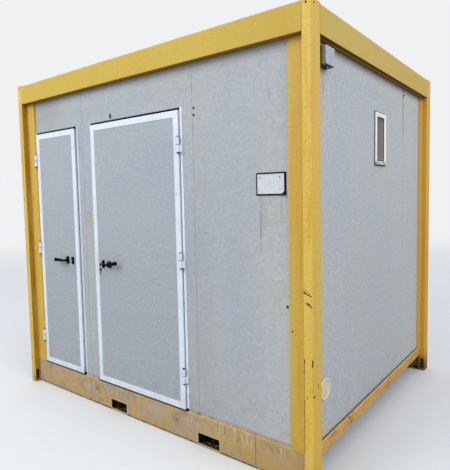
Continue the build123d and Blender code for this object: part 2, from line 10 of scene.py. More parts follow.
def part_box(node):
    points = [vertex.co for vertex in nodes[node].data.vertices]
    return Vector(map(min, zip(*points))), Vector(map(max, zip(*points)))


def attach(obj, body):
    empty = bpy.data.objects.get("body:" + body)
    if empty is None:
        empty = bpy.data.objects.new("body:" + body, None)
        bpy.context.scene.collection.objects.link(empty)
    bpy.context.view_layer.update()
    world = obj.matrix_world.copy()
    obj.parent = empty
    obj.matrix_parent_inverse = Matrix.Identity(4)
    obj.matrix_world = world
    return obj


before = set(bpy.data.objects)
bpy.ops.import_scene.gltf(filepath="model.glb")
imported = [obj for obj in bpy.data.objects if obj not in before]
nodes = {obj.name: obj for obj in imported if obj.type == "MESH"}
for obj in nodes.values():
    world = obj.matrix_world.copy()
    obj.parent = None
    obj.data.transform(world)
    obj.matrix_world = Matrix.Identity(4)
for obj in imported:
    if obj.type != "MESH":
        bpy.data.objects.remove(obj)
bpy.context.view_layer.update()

print("frame loaded:", len(nodes), "CAD nodes")


# Shader helpers.

class Wire:  # one socket of a node tree, so shader maths can be written as plain expressions
    def __init__(self, shading, socket):
        self.shading = shading
        self.socket = socket

    def maths(self, operation, *terms):
        return self.shading.node("ShaderNodeMath", {"operation": operation}, dict(enumerate(terms)))

    def __add__(self, other):
        return self.maths("ADD", self, other)

    def __sub__(self, other):
        return self.maths("SUBTRACT", self, other)

    def __rsub__(self, other):
        return self.maths("SUBTRACT", other, self)

    def __mul__(self, other):
        return self.maths("MULTIPLY", self, other)

    __radd__ = __add__
    __rmul__ = __mul__

    def __abs__(self):
        return self.maths("ABSOLUTE", self)

    def least(self, other):
        return self.maths("MINIMUM", self, other)

    def most(self, other):
        return self.maths("MAXIMUM", self, other)

    def reach(self, other):  # distance from the middle, from the distances along two axes
        total = self * self + other * other
        return total.maths("SQRT", total)

    def fade(self, start, stop):  # 0 at start, 1 at stop, smooth between; start may be the larger
        settings = {"interpolation_type": "SMOOTHSTEP"}
        return self.shading.node("ShaderNodeMapRange", settings, {0: self, 1: start, 2: stop})

    def band(self, low, high, soft):  # 1 between low and high, fading to 0 over soft outside them
        return self.fade(low - soft, low) * self.fade(high + soft, high)


def mostOf(masks):
    return reduce(Wire.most, masks)


def tint(red, green, blue):  # the shader's colour for one of 0 to 255
    linear = [((c / 255 + 0.055) / 1.055) ** 2.4 if c > 10 else c / 255 / 12.92 for c in (red, green, blue)]
    return (*linear, 1)


class Shading:  # the nodes of a material or of the world
    def __init__(self, owner, facts=None):
        owner.use_nodes = True
        self.tree = owner.node_tree
        self.tree.nodes.clear()
        self.facts = facts or {}

    def node(self, kind, settings=None, sockets=None, out=0):
        made = self.tree.nodes.new(kind)
        for key, value in (settings or {}).items():
            setattr(made, key, value)
        for key, value in (sockets or {}).items():
            if isinstance(value, Wire):
                self.tree.links.new(value.socket, made.inputs[key])
            else:
                made.inputs[key].default_value = value
        return Wire(self, made.outputs[out]) if made.outputs else None

    def shade(self, colour):  # of a wire, of 0 to 255 as read from a picture, or of a name in the facts
        colour = self.facts[colour] if isinstance(colour, str) else colour
        return colour if isinstance(colour, Wire) else tint(*colour)

    def blend(self, mask, under, over):
        colours = {6: self.shade(under), 7: self.shade(over)}
        return self.node("ShaderNodeMix", {"data_type": "RGBA"}, {0: mask, **colours}, out=2)


class Finish(Shading):  # one material; colour is what its layers come to so far
    def __init__(self, name, facts=None, **constants):
        self.material = bpy.data.materials.new(name)
        super().__init__(self.material, facts)
        self.constants = {key.replace("_", " "): value for key, value in constants.items()}
        self.colour = None
        self.place = self.node("ShaderNodeTexCoord", out="Object")
        self.axes = [self.along(axis, self.place) for axis in range(3)]

    def along(self, axis, vector):
        return self.node("ShaderNodeSeparateXYZ", None, {0: vector}, out=axis)

    def start(self, mask, under, over):
        self.colour = self.blend(mask, under, over)

    def over(self, mask, colour):
        self.colour = self.blend(mask, self.colour, colour)

    def shader(self, roughness):
        sockets = {"Base Color": self.colour, "Roughness": roughness, **self.constants}
        return self.node("ShaderNodeBsdfPrincipled", None, sockets)

    def done(self, roughness, height, strength, distance):
        bump = {"Height": height, "Strength": strength, "Distance": distance}
        self.constants["Normal"] = self.node("ShaderNodeBump", None, bump)
        self.node("ShaderNodeOutputMaterial", None, {0: self.shader(roughness)})
        return self.material

    def noise(self, scale, detail=3, stretch=(1, 1, 1), shift=0, rough=0.5, warp=0):
        mapping = {0: self.place, 1: (shift, shift * 0.7, shift * 1.3), 3: stretch}
        moved = self.node("ShaderNodeMapping", None, mapping)
        sockets = {"Vector": moved, "Scale": scale, "Detail": detail, "Roughness": rough}
        return self.node("ShaderNodeTexNoise", None, {**sockets, "Distortion": warp})

    def streaks(self, across, upward, detail, shift=0, rough=0.5):  # noise with its own scale up and down
        return self.noise(1, detail, (across, across, upward), shift, rough)

    def cells(self, scale, shift=0):  # distance to the nearest of many scattered points
        moved = self.node("ShaderNodeMapping", None, {0: self.place, 1: (shift, shift, shift)})
        return self.node("ShaderNodeTexVoronoi", None, {"Vector": moved, "Scale": scale}, out="Distance")

    def facing(self, axis, sign):  # 1 on faces that look along an axis, 0 to 2; sign is 1 or -1
        normal = self.node("ShaderNodeNewGeometry", out="Normal")
        return (self.along(axis, normal) * sign).fade(0.3, 0.9)

    def spot(self, centre, reach, soft=0.5):  # a soft patch; reach is its half size along each axis
        scaled = self.node("ShaderNodeVectorMath", {"operation": "DIVIDE"}, {0: self.place, 1: reach})
        middle = tuple(c / r for c, r in zip(centre, reach))
        away = self.node("ShaderNodeVectorMath", {"operation": "DISTANCE"}, {0: scaled, 1: middle}, out=1)
        return away.fade(1, 1 - soft)

    def stroke(self, start, stop, width, soft=0.6):  # a scratch or a run between two points
        run = Vector(stop) - Vector(start)
        away = self.node("ShaderNodeVectorMath", {"operation": "SUBTRACT"}, {0: self.place, 1: start})
        along = {0: away, 1: tuple(run / run.length_squared)}
        share = self.node("ShaderNodeVectorMath", {"operation": "DOT_PRODUCT"}, along, out=1)
        share = share.least(1).most(0)
        nearest = self.node("ShaderNodeVectorMath", {"operation": "SCALE"}, {0: tuple(run), 3: share})
        reach = self.node("ShaderNodeVectorMath", {"operation": "DISTANCE"}, {0: away, 1: nearest}, out=1)
        return reach.fade(width, width * (1 - soft))

    def stipple(self, strength, dark, pale):  # the small dark and light dots of embossed sheet
        dots = self.noise(50, 3, shift=17, rough=0.7)
        self.over(dots.fade(0.49, 0.62) * strength, dark)
        self.over(dots.fade(0.47, 0.34) * strength, pale)


def speckled(name, grain, low, high, share, pale, dark, **constants):  # the ground of most small parts
    finish = Finish(name, **constants)
    mottle = finish.noise(*grain)
    finish.start(mottle.fade(low, high) * share, pale, dark)
    return finish, mottle


# Studio: a pale floor that runs into a pale backdrop, brighter light from above than from the sides.

studio = {
    "floorColour": (214, 215, 216),
    "floorToObject": (148, 145, 141),  # what the floor sends back up to the cabin
    "backdropColour": (240, 241, 243),
    "skyHigh": (238, 243, 250),
    "skyLow": (150, 152, 156),
    "skyStrength": 1.15,
    "lamps": {  # power, size and place
        "keyLight": (420, 6, (-3.5, -7.5, 6.5)),
        "fillLight": (400, 6, (8.5, -2.5, 6.0)),
    },
    "lampTarget": Vector((0, 0, 1.2)),
    "floorHalf": 40,
    "floorFade": (5, 16),  # metres from the middle where the floor runs into the backdrop
}


def buildWorld():
    world = bpy.data.worlds.new("studioSky")
    bpy.context.scene.world = world
    sky = Shading(world, studio)
    rays = ("Is Camera Ray", "Is Glossy Ray", "Is Transmission Ray")
    seen = mostOf([sky.node("ShaderNodeLightPath", out=ray) for ray in rays])
    outward = sky.node("ShaderNodeTexCoord", out="Generated")
    upward = sky.node("ShaderNodeSeparateXYZ", None, {0: outward}, out=2)
    height = sky.node("ShaderNodeMapRange", None, {0: upward, 1: -0.1, 2: 0.7})
    lit = {0: sky.blend(height, "skyLow", "skyHigh"), 1: studio["skyStrength"]}
    light = sky.node("ShaderNodeBackground", None, lit)
    shown = sky.node("ShaderNodeBackground", None, {0: sky.shade("backdropColour")})
    mixed = sky.node("ShaderNodeMixShader", None, {0: seen, 1: light, 2: shown})
    sky.node("ShaderNodeOutputWorld", None, {0: mixed})


def buildFloor():
    half = studio["floorHalf"]
    mesh = bpy.data.meshes.new("studioFloor")
    turns = ((-1, -1), (1, -1), (1, 1), (-1, 1))
    mesh.from_pydata([(sx * half, sy * half, 0) for sx, sy in turns], [], [(0, 1, 2, 3)])
    floor = bpy.data.objects.new("studioFloor", mesh)
    bpy.context.scene.collection.objects.link(floor)
    finish = Finish("studioFloor", studio)
    x, y = finish.axes[:2]
    seen = finish.node("ShaderNodeLightPath", out="Is Camera Ray")
    finish.start(seen, "floorToObject", "floorColour")
    glow = finish.node("ShaderNodeEmission", None, {0: finish.shade("backdropColour")})
    far = x.reach(y).fade(*studio["floorFade"]) * seen
    mixed = finish.node("ShaderNodeMixShader", None, {0: far, 1: finish.shader(0.95), 2: glow})
    finish.node("ShaderNodeOutputMaterial", None, {0: mixed})
    mesh.materials.append(finish.material)


def buildStudio():
    bpy.context.scene.view_settings.view_transform = "Standard"
    buildWorld()
    buildFloor()
    for name, (power, size, place) in studio["lamps"].items():
        lamp = bpy.data.lights.new(name, "AREA")
        lamp.energy = power
        lamp.size = size
        holder = bpy.data.objects.new(name, lamp)
        holder.location = place
        holder.rotation_mode = "QUATERNION"
        holder.rotation_quaternion = (studio["lampTarget"] - holder.location).to_track_quat("-Z", "Y")
        bpy.context.scene.collection.objects.link(holder)


# Camera, at the photograph's angle.

cameraFacts = {
    "place": (2.4792, -3.2822, 1.6199),
    "turn": 37.622,  # degrees to the left of straight on
    "tilt": 4.1635,  # degrees down
    "roll": -1.1744,
    "focalPixels": 460.15,
    "centrePixel": (225.206, 230.088),
    "picture": (450, 470),
}


def buildCamera():
    turn, tilt, roll = [math.radians(cameraFacts[key]) for key in ("turn", "tilt", "roll")]
    ahead = Vector((-math.sin(turn) * math.cos(tilt), math.cos(turn) * math.cos(tilt), -math.sin(tilt)))
    level = ahead.cross(Vector((0, 0, 1))).normalized()
    upright = level.cross(ahead)
    right = math.cos(roll) * level + math.sin(roll) * upright
    up = -math.sin(roll) * level + math.cos(roll) * upright
    width, height = cameraFacts["picture"]
    middleX, middleY = cameraFacts["centrePixel"]
    longSide = max(width, height)
    data = bpy.data.cameras.new("camera")
    data.sensor_width = 36
    data.lens = cameraFacts["focalPixels"] * data.sensor_width / longSide
    data.shift_x = (width / 2 - middleX) / longSide
    data.shift_y = (middleY - height / 2) / longSide
    data.clip_end = 200
    camera = bpy.data.objects.new("camera", data)
    turned = Matrix((right, up, -ahead)).transposed().to_4x4()
    camera.matrix_world = Matrix.Translation(cameraFacts["place"]) @ turned
    bpy.context.scene.collection.objects.link(camera)
    bpy.context.scene.camera = camera


# Planes that finishes and pieces are placed by, in metres from the cabin's middle and the ground.

cabin = {
    "postX": 1.4, "postY": 1.15,  # outer faces of the frame
    "wallX": 1.342, "wallY": 1.092,  # outer faces of the wall panels
    "railY": 1.105,  # outer face of the front and back bottom rails
    "leafY": -1.102,  # outer face of the doors' leaves
    "handleY": -1.111,  # outer face of the plates behind the handles
    "railUnderside": 2.442, "railTop": 2.596,  # of the top rails, as the welds run
    "frontRailTop": 0.203, "sideRailTop": 0.215,
    "hingeHeights": (1.957, 1.211, 0.442),
    "hingeKnuckle": 0.05,  # height of each half of a hinge
    "plate": (1.1178, 1.685),  # middle of the number plate, x and z
    "window": (0.015, 2.0025), "windowHalf": (0.107, 0.1805),  # middle and half sizes, y and z
    "cover": (-0.9, 0.505),  # middle of the round cover, y and z
    "joint": 0.55,  # joint between the panels of each side wall, y
}


# Yellow paint of the posts and top rails.

yellowPaint = {
    "face": (224, 189, 80),
    # painted shade: the darker yellow given to the faces on the cabin's sides
    "pale": (226, 198, 108),
    "worn": (206, 168, 66),
    "side": (203, 169, 80),
    "rail": (186, 161, 44),
    "dulled": (168, 158, 116),
    # faces set back behind the posts' outer faces: painted shade, and paint there less faded
    "recessShadeAndUnfaded": (204, 164, 66),
    "olive": (176, 142, 48),
    "orange": (206, 148, 44),
    # painted shade of the left post's return face
    "return": (150, 104, 8),
    # painted shade inside the hollow posts and rails, and in a line under the side rails
    "hollowShade": (26, 18, 12),
    # painted shade of the top rails' undersides: under the side rails, under the front and back rails, and
    # a lighter stripe along the side rails
    "under": (84, 50, 16),
    "underFrontShade": (132, 100, 40),
    "underStripeShade": (156, 116, 50),
    "greenish": (206, 182, 76),
    "rust": (104, 62, 30),
    "grime": (132, 106, 54),
    "chip": (44, 28, 14),
    # Scratches and chips of the near post, and painted shadow along the folds of its edges: start, end,
    # half width and strength.
    "frontMarks": (  # x and z
        (1.3407, 1.1113, 1.3898, 1.0932, 0.0042, 1.0),
        (1.343, 1.113, 1.356, 1.1075, 0.006, 1.0),
        (1.344, 1.133, 1.374, 1.117, 0.0022, 0.6),
        (1.344, 1.124, 1.382, 1.104, 0.002, 0.6),
        (1.364, 1.053, 1.379, 1.049, 0.0075, 0.8),
        (1.37, 1.05, 1.3928, 1.0345, 0.0046, 1.0),
        (1.348, 0.75, 1.348, 0.73, 0.0042, 1.0),
        (1.3455, 0.725, 1.3455, 0.67, 0.0042, 1.0),
        (1.345, 0.665, 1.345, 0.53, 0.0034, 0.9),
        (1.396, 0.752, 1.396, 0.72, 0.005, 1.0),
        (1.3975, 0.71, 1.3975, 0.575, 0.0022, 0.5),
        (1.3628, 0.551, 1.363, 0.539, 0.0036, 0.9),
        (1.348, 0.527, 1.348, 0.506, 0.0036, 1.0),
        (1.345, 0.5, 1.3445, 0.23, 0.005, 1.0),
        (1.344, 1.1, 1.344, 0.76, 0.0028, 0.7),
    ),
    "sideMarks": (  # y and z
        (-1.0939, 0.609, -1.0965, 0.59, 0.0055, 1.0),
        (-1.05, 0.853, -1.05, 0.816, 0.004, 0.7),
        (-1.0505, 0.776, -1.0505, 0.761, 0.0042, 0.9),
        (-1.147, 0.559, -1.132, 0.55, 0.0075, 0.7),
        (-1.05, 0.437, -1.05, 0.426, 0.006, 1.0),
        (-1.049, 0.312, -1.049, 0.305, 0.005, 0.9),
        (-1.115, 1.147, -1.1105, 1.138, 0.004, 0.5),
    ),
}


def yellowFinish():
    paint = Finish("frameYellow", yellowPaint, Specular_IOR_Level=0.3)
    x, y, z = paint.axes
    inFront = cabin["postY"] - abs(y)
    inSide = cabin["postX"] - abs(x)
    depth = inFront.least(inSide)
    cloud = paint.noise(2.2, 4)
    mottle = paint.noise(9, 5, shift=3)
    grain = paint.noise(75, 4, shift=2)
    onSide = inSide.fade(0.006, 0.001)
    onRail = z.fade(2.436, 2.444) * inSide.fade(0.056, 0.058).most(inFront.fade(0.101, 0.103))
    paint.start(cloud.fade(0.35, 0.68) * 0.3, "face", "pale")
    # painted shade on the faces on the cabin's sides
    paint.over(onSide * 0.8, "side")
    paint.over(onRail * 0.55, "rail")
    paint.over(x.fade(0.5, 1.2) * onRail * 0.24, paint.blend(onSide * y.fade(1.0, -0.6), "olive", "dulled"))
    # painted shade in the recesses behind the posts' outer faces, with the less faded paint there
    paint.over(depth.fade(0.003, 0.04) * 0.6, "recessShadeAndUnfaded")
    beside = inFront.fade(0.052, 0.046) * depth.fade(0.038, 0.042) * inSide.fade(0.084, 0.066)
    paint.over(beside * 0.75, paint.blend(z.fade(0.95, 1.15), "orange", "olive"))
    farRight = x.fade(1.2, 1.3) * y.fade(0.9, 1.0)
    paint.over(farRight * z.fade(2.446, 2.438) * 0.6, "orange")
    # painted shade on the left post's return face, the face looking towards the doors
    leftReturnShade = x.band(-1.3445, -1.3415, 0.0008) * inFront.fade(0.046, 0.042)
    paint.over(leftReturnShade * 0.9, "return")
    paint.over(mottle.fade(0.45, 0.7) * grain.fade(0.35, 0.65) * 0.45, "worn")
    wash = paint.streaks(34, 1.6, 3, 14)
    onPost = z.fade(2.44, 2.4)
    paint.over(wash.fade(0.52, 0.66) * onPost * 0.4, "orange")
    paint.over(wash.fade(0.47, 0.34) * onPost * 0.35, "greenish")
    paint.over(grain.fade(0.48, 0.66) * 0.26, "olive")
    # painted shade on the top rails' downward faces, striped and lined along the side rails
    underneath = paint.facing(2, -1) * z.fade(2.3, 2.4)
    shaded = paint.blend(inSide.fade(0.058, 0.064), "under", "underFrontShade")
    shaded = paint.blend(inSide.band(0.024, 0.04, 0.005) * 0.7, shaded, "underStripeShade")
    shaded = paint.blend(inSide.band(0.012, 0.015, 0.004) * 0.7, shaded, "hollowShade")
    paint.over(underneath * (0.78 + grain * 0.3).least(1), shaded)
    paint.over(z.fade(2.588, 2.599) * mottle.fade(0.45, 0.6) * grain.fade(0.4, 0.6) * 0.7, "grime")
    paint.over(z.fade(0.3, 0.02) * mottle.fade(0.4, 0.66) * 0.3, "grime")
    foot = z.fade(0.2, 0.03) * (mottle.fade(0.58, 0.66) * 0.35 + farRight * grain.fade(0.3, 0.5)).least(1)
    paint.over(foot, "rust")
    speck = paint.cells(46).fade(0.1, 0.07) * paint.noise(5, 2, shift=8).fade(0.55, 0.66)
    paint.over(speck * (z.fade(1.35, 0.8) * 0.7 + 0.1), "chip")
    front, side = -cabin["postY"], cabin["postX"]
    marks = [paint.stroke((x0, front, z0), (x1, front, z1), width) * strength
             for x0, z0, x1, z1, width, strength in yellowPaint["frontMarks"]]
    marks += [paint.stroke((side, y0, z0), (side, y1, z1), width) * strength
              for y0, z0, y1, z1, width, strength in yellowPaint["sideMarks"]]
    # the scratches and chips, and the painted shadow along the post's folds
    scratched = (mostOf(marks) * grain.fade(0.1, 0.34)).least(1)
    paint.over(scratched, "chip")
    paint.over(paint.facing(2, 1) * mottle.fade(0.3, 0.7) * 0.5, "grime")
    # painted shade on the faces inside the hollow posts and rails
    hollowShade = inSide.band(0.0037, 0.0533, 0.0003) * inFront.band(0.0037, 0.0983, 0.0003)
    paint.over(hollowShade * z.band(0.0105, 2.5955, 0.0004) * 0.95, "hollowShade")
    roughness = 0.42 + mottle * 0.16 + scratched * 0.5 + foot * 0.3 + underneath * 0.4
    peel = paint.noise(420, 2) * 0.4 + cloud * 0.5
    return paint.done(roughness, peel - scratched * 2.5 - speck * 1.5, 0.35, 0.0006)


# Faded paint of the front and back bottom rails, and the ochre paint of the side ones.

railPaint = {
    "base": (180, 157, 116),
    "yellow": (198, 163, 94),
    "pink": (190, 160, 132),
    "bleached": (172, 168, 158),
    "brown": (134, 106, 70),
    "grey": (170, 156, 140),
    "ochre": (196, 152, 80),
    "nearEnd": (178, 148, 84),
    "rust": (112, 66, 34),
    "dark": (24, 20, 15),
    "debris": (112, 102, 84),
    "topEdge": (208, 182, 142),
    "drip": (208, 196, 166),
    "pocketEdge": (222, 190, 110),
    "pockets": (-0.252, 0.63),  # middle of each fork pocket along x
    "pocketHeight": 0.049,
    "pocketHalf": (0.09, 0.037),
    # x spans under the doors, where the rail's top edge is darkened as painted shade of the gap under each
    # leaf
    "underDoors": ((-1.232, -0.655), (-0.482, 0.449)),
    "joints": ((0.995, 0.02, 0.195), (0.765, 0.14, 0.196), (-0.585, 0.02, 0.192)),  # x, low and high
    "patches": (  # colour, x, z and the half sizes
        ("bleached", 0.83, 0.165, 0.12, 0.03),
        ("yellow", 0.88, 0.09, 0.16, 0.08),
        ("bleached", 0.12, 0.11, 0.13, 0.08),
        ("bleached", -0.62, 0.12, 0.16, 0.07),
        ("bleached", -0.1, 0.155, 0.12, 0.04),
        ("bleached", -0.36, 0.16, 0.1, 0.03),
        ("brown", -0.74, 0.105, 0.07, 0.08),
        ("brown", -0.5, 0.125, 0.06, 0.06),
        ("brown", 0.36, 0.13, 0.08, 0.06),
        ("pink", -1.05, 0.13, 0.22, 0.08),
        ("pink", 0.22, 0.15, 0.14, 0.05),
        ("pink", 1.15, 0.13, 0.14, 0.07),
        ("yellow", -1.27, 0.11, 0.09, 0.11),
        ("yellow", -0.28, 0.03, 0.4, 0.03),
        ("yellow", 0.42, 0.05, 0.1, 0.06),
        ("yellow", 0.74, 0.13, 0.05, 0.08),
        ("yellow", 1.05, 0.06, 0.3, 0.06),
    ),
}


def frontRailFinish():
    facts = railPaint
    paint = Finish("railFaded", facts, Specular_IOR_Level=0.3)
    x, y, z = paint.axes
    face = -cabin["railY"]
    mottle = paint.noise(11, 5, stretch=(1, 1, 0.8))
    cloud = paint.noise(3.2, 4, shift=4)
    fine = paint.noise(60, 4, shift=6)
    blotch = paint.noise(26, 5, stretch=(1, 1, 0.7), shift=12, rough=0.65)
    wash = paint.streaks(13, 7, 5, 21, 0.65)
    streak = paint.streaks(60, 22, 5, 15, 0.7)
    paint.start(cloud.fade(0.4, 0.62) * 0.6, "base", "yellow")
    paint.over(wash.fade(0.46, 0.62) * 0.6, "grey")
    paint.over(wash.fade(0.47, 0.36) * 0.5, "ochre")
    for name, patchX, patchZ, halfX, halfZ in facts["patches"]:
        patch = paint.spot((patchX, face, patchZ), (halfX, 1, halfZ), 0.9) * blotch.fade(0.38, 0.6)
        paint.over(patch * 0.75, name)
    paint.over(mottle.fade(0.52, 0.7) * blotch.fade(0.4, 0.6) * 0.55, "brown")
    paint.over(streak.fade(0.51, 0.63) * mottle.fade(0.4, 0.52) * 0.6, "bleached")
    paint.over(streak.fade(0.47, 0.37) * mottle.fade(0.58, 0.46) * 0.45, "brown")
    paint.over(x.fade(0.65, 1.0) * 0.4, "nearEnd")
    runs = paint.streaks(48, 9, 4, 8, 0.6).fade(0.54, 0.64)
    paint.over(runs * z.fade(0.08, 0.16) * (x.fade(0.1, 0.7) * 0.8 + 0.2) * 0.5, "drip")
    paint.over(z.fade(0.196, 0.201) * fine.fade(0.15, 0.45) * 0.5, "topEdge")
    # painted shade of the gaps under the doors, along the rail's top edge
    underDoorShade = mostOf([x.band(low, high, 0.002) for low, high in facts["underDoors"]])
    paint.over(underDoorShade * z.fade(0.195, 0.1985) * 0.9, "dark")
    speckle = paint.noise(150, 3, shift=5).fade(0.62, 0.7) * mottle.fade(0.45, 0.6)
    paint.over(speckle * 0.6, "rust")
    paint.over(z.fade(0.02, 0.004) * fine.fade(0.3, 0.55), "dark")
    halfX, halfZ = facts["pocketHalf"]
    for centre in facts["pockets"]:
        edge = (abs(x - centre) - halfX).most(abs(z - facts["pocketHeight"]) - halfZ)
        bare = edge.fade(0.012, 0.001) * fine.fade(0.28, 0.5) * y.fade(-1.08, -1.104)
        paint.over(bare * 0.8, "pocketEdge")
        # inside each pocket: painted shadow above, debris on its floor
        debris = paint.blend(blotch.fade(0.5, 0.6) * z.fade(0.045, 0.013), "dark", "debris")
        paint.over(y.fade(-1.1005, -1.098) * edge.fade(0.003, 0.001), debris)
    joints = mostOf([paint.stroke((jointX, face, low), (jointX, face, high), 0.004)
                     for jointX, low, high in facts["joints"]])
    paint.over(joints * fine.fade(0.3, 0.5) * 0.5, "dark")
    return paint.done(0.6 + mottle * 0.25, fine * 0.5 + mottle - speckle - joints, 0.4, 0.0008)


sideRailPaint = {
    "base": (198, 159, 84),
    "deep": (174, 131, 58),
    "worn": (140, 104, 58),
    "pale": (222, 198, 146),
    # painted highlights along the rail's top edge and along its lower edge
    "topEdge": (226, 200, 150),
    "lowEdgeHighlight": (220, 194, 140),
    "rust": (112, 66, 34),
    "moss": (92, 104, 52),
    "bruise": (70, 48, 30),
    # painted shade under the rail
    "dark": (24, 20, 15),
}


def sideRailFinish():
    paint = Finish("railOchre", sideRailPaint, Specular_IOR_Level=0.3)
    x, _, z = paint.axes
    inSide = cabin["postX"] - abs(x)
    mottle = paint.noise(8, 5, stretch=(1, 1, 2))
    fine = paint.noise(70, 4, shift=6)
    paint.start(mottle.fade(0.4, 0.65) * 0.6, "base", "deep")
    paint.over(fine.fade(0.52, 0.64) * 0.45, "worn")
    paint.over(fine.fade(0.46, 0.36) * 0.35, "pale")
    # painted highlights along the top edge and along the lower edge
    paint.over(z.fade(0.204, 0.211) * fine.fade(0.2, 0.45) * 0.8, "topEdge")
    paint.over(z.fade(0.149, 0.142) * 0.7, "lowEdgeHighlight")
    # painted shade in the crease where the rail's top meets the wall, in the rust colour
    paint.over(inSide.fade(0.05, 0.056) * z.fade(0.2, 0.212) * 0.85, "rust")
    paint.over(mottle.fade(0.6, 0.7) * fine.fade(0.4, 0.6) * 0.6, "rust")
    paint.over(paint.spot((1.36, -0.5, 0.213), (0.06, 0.022, 0.01)) * fine.fade(0.4, 0.55), "moss")
    paint.over(paint.spot((1.35, -0.57, 0.205), (0.08, 0.025, 0.012)) * fine.fade(0.35, 0.55), "bruise")
    # painted shade on the rail's downward faces
    paint.over(paint.facing(2, -1) * 0.85, "dark")
    return paint.done(0.5 + mottle * 0.3, fine * 0.5 + mottle, 0.35, 0.0008)


# Grey wall panels.

wallPanel = {
    "base": (175, 180, 183),
    "cool": (168, 177, 190),
    "coolBand": (164, 172, 185),
    "warm": (179, 182, 182),
    "water": (160, 165, 170),
    # a pale patch on the front wall, and painted light on the walls just under the top rails
    "paleAndPaintedLight": (206, 209, 211),
    "run": (140, 143, 143),
    "haze": (168, 169, 158),
    # painted light: lightens the front wall near the right post and the far part of the right wall
    "bright": (212, 209, 199),
    "dirt": (142, 130, 110),
    "brown": (122, 92, 62),
    "ochre": (162, 152, 134),
    "dark": (70, 66, 60),
    "dotDark": (156, 162, 168),
    "dotPale": (194, 199, 203),
    "inside": (214, 213, 207),
    "daub": (-0.548, -cabin["wallY"], 1.483),  # yellow paint between the doors
    "daubPaint": ((212, 208, 132), (96, 92, 70)),
    "runs": (  # below the number plate: x, z, half sizes and strength
        (1.047, 1.46, 0.013, 0.24, 0.75),
        (1.062, 1.52, 0.036, 0.18, 0.3),
        (1.182, 1.54, 0.012, 0.14, 0.45),
    ),
    "frontMarks": (  # colour, strength, x, z and half sizes
        ("ochre", 0.6, 1.113, 2.17, 0.016, 0.06),
        ("ochre", 0.6, 1.137, 2.016, 0.014, 0.04),
        ("dark", 0.9, 0.64, 1.392, 0.011, 0.011),
        ("dark", 0.8, 0.781, 1.814, 0.003, 0.008),
        ("paleAndPaintedLight", 1.0, 1.158, 1.153, 0.03, 0.012),
        ("dark", 0.8, 1.165, 1.141, 0.016, 0.0035),
        ("dark", 0.9, 1.2162, 0.9986, 0.004, 0.012),
        ("dark", 0.5, 0.5631, 2.168, 0.006, 0.016),
        ("dark", 0.5, 0.5625, 2.125, 0.006, 0.016),
        ("dirt", 0.5, 0.5631, 2.06, 0.004, 0.06),
        ("dirt", 0.5, -0.241, 2.2, 0.008, 0.03),
        ("brown", 1.0, -0.643, 2.15, 0.012, 0.075),
        ("brown", 0.7, -0.622, 2.04, 0.01, 0.08),
        ("dirt", 0.4, -0.57, 2.25, 0.006, 0.09),
        ("dirt", 0.2, 0.53, 0.24, 0.12, 0.08),
    ),
    "sideMarks": (  # colour, strength, y, z and half sizes
        ("dark", 1.0, 0.545, 2.378, 0.02, 0.026),
        ("dark", 1.0, 0.565, 2.32, 0.016, 0.022),
        ("dirt", 0.7, 0.552, 2.28, 0.007, 0.055),
        ("dirt", 0.4, 0.556, 2.12, 0.005, 0.09),
        ("dark", 0.6, -0.636, 0.644, 0.01, 0.006),
        ("dark", 0.6, -0.6, 0.65, 0.028, 0.0035),
        ("dark", 0.5, -0.56, 0.655, 0.022, 0.005),
        ("dark", 0.4, -0.476, 1.186, 0.012, 0.004),
        ("dirt", 0.5, 0.131, 1.46, 0.02, 0.006),
        ("dirt", 0.4, -0.676, 1.556, 0.016, 0.008),
        ("dirt", 0.6, -0.9, 2.2, 0.028, 0.07),
    ),
}


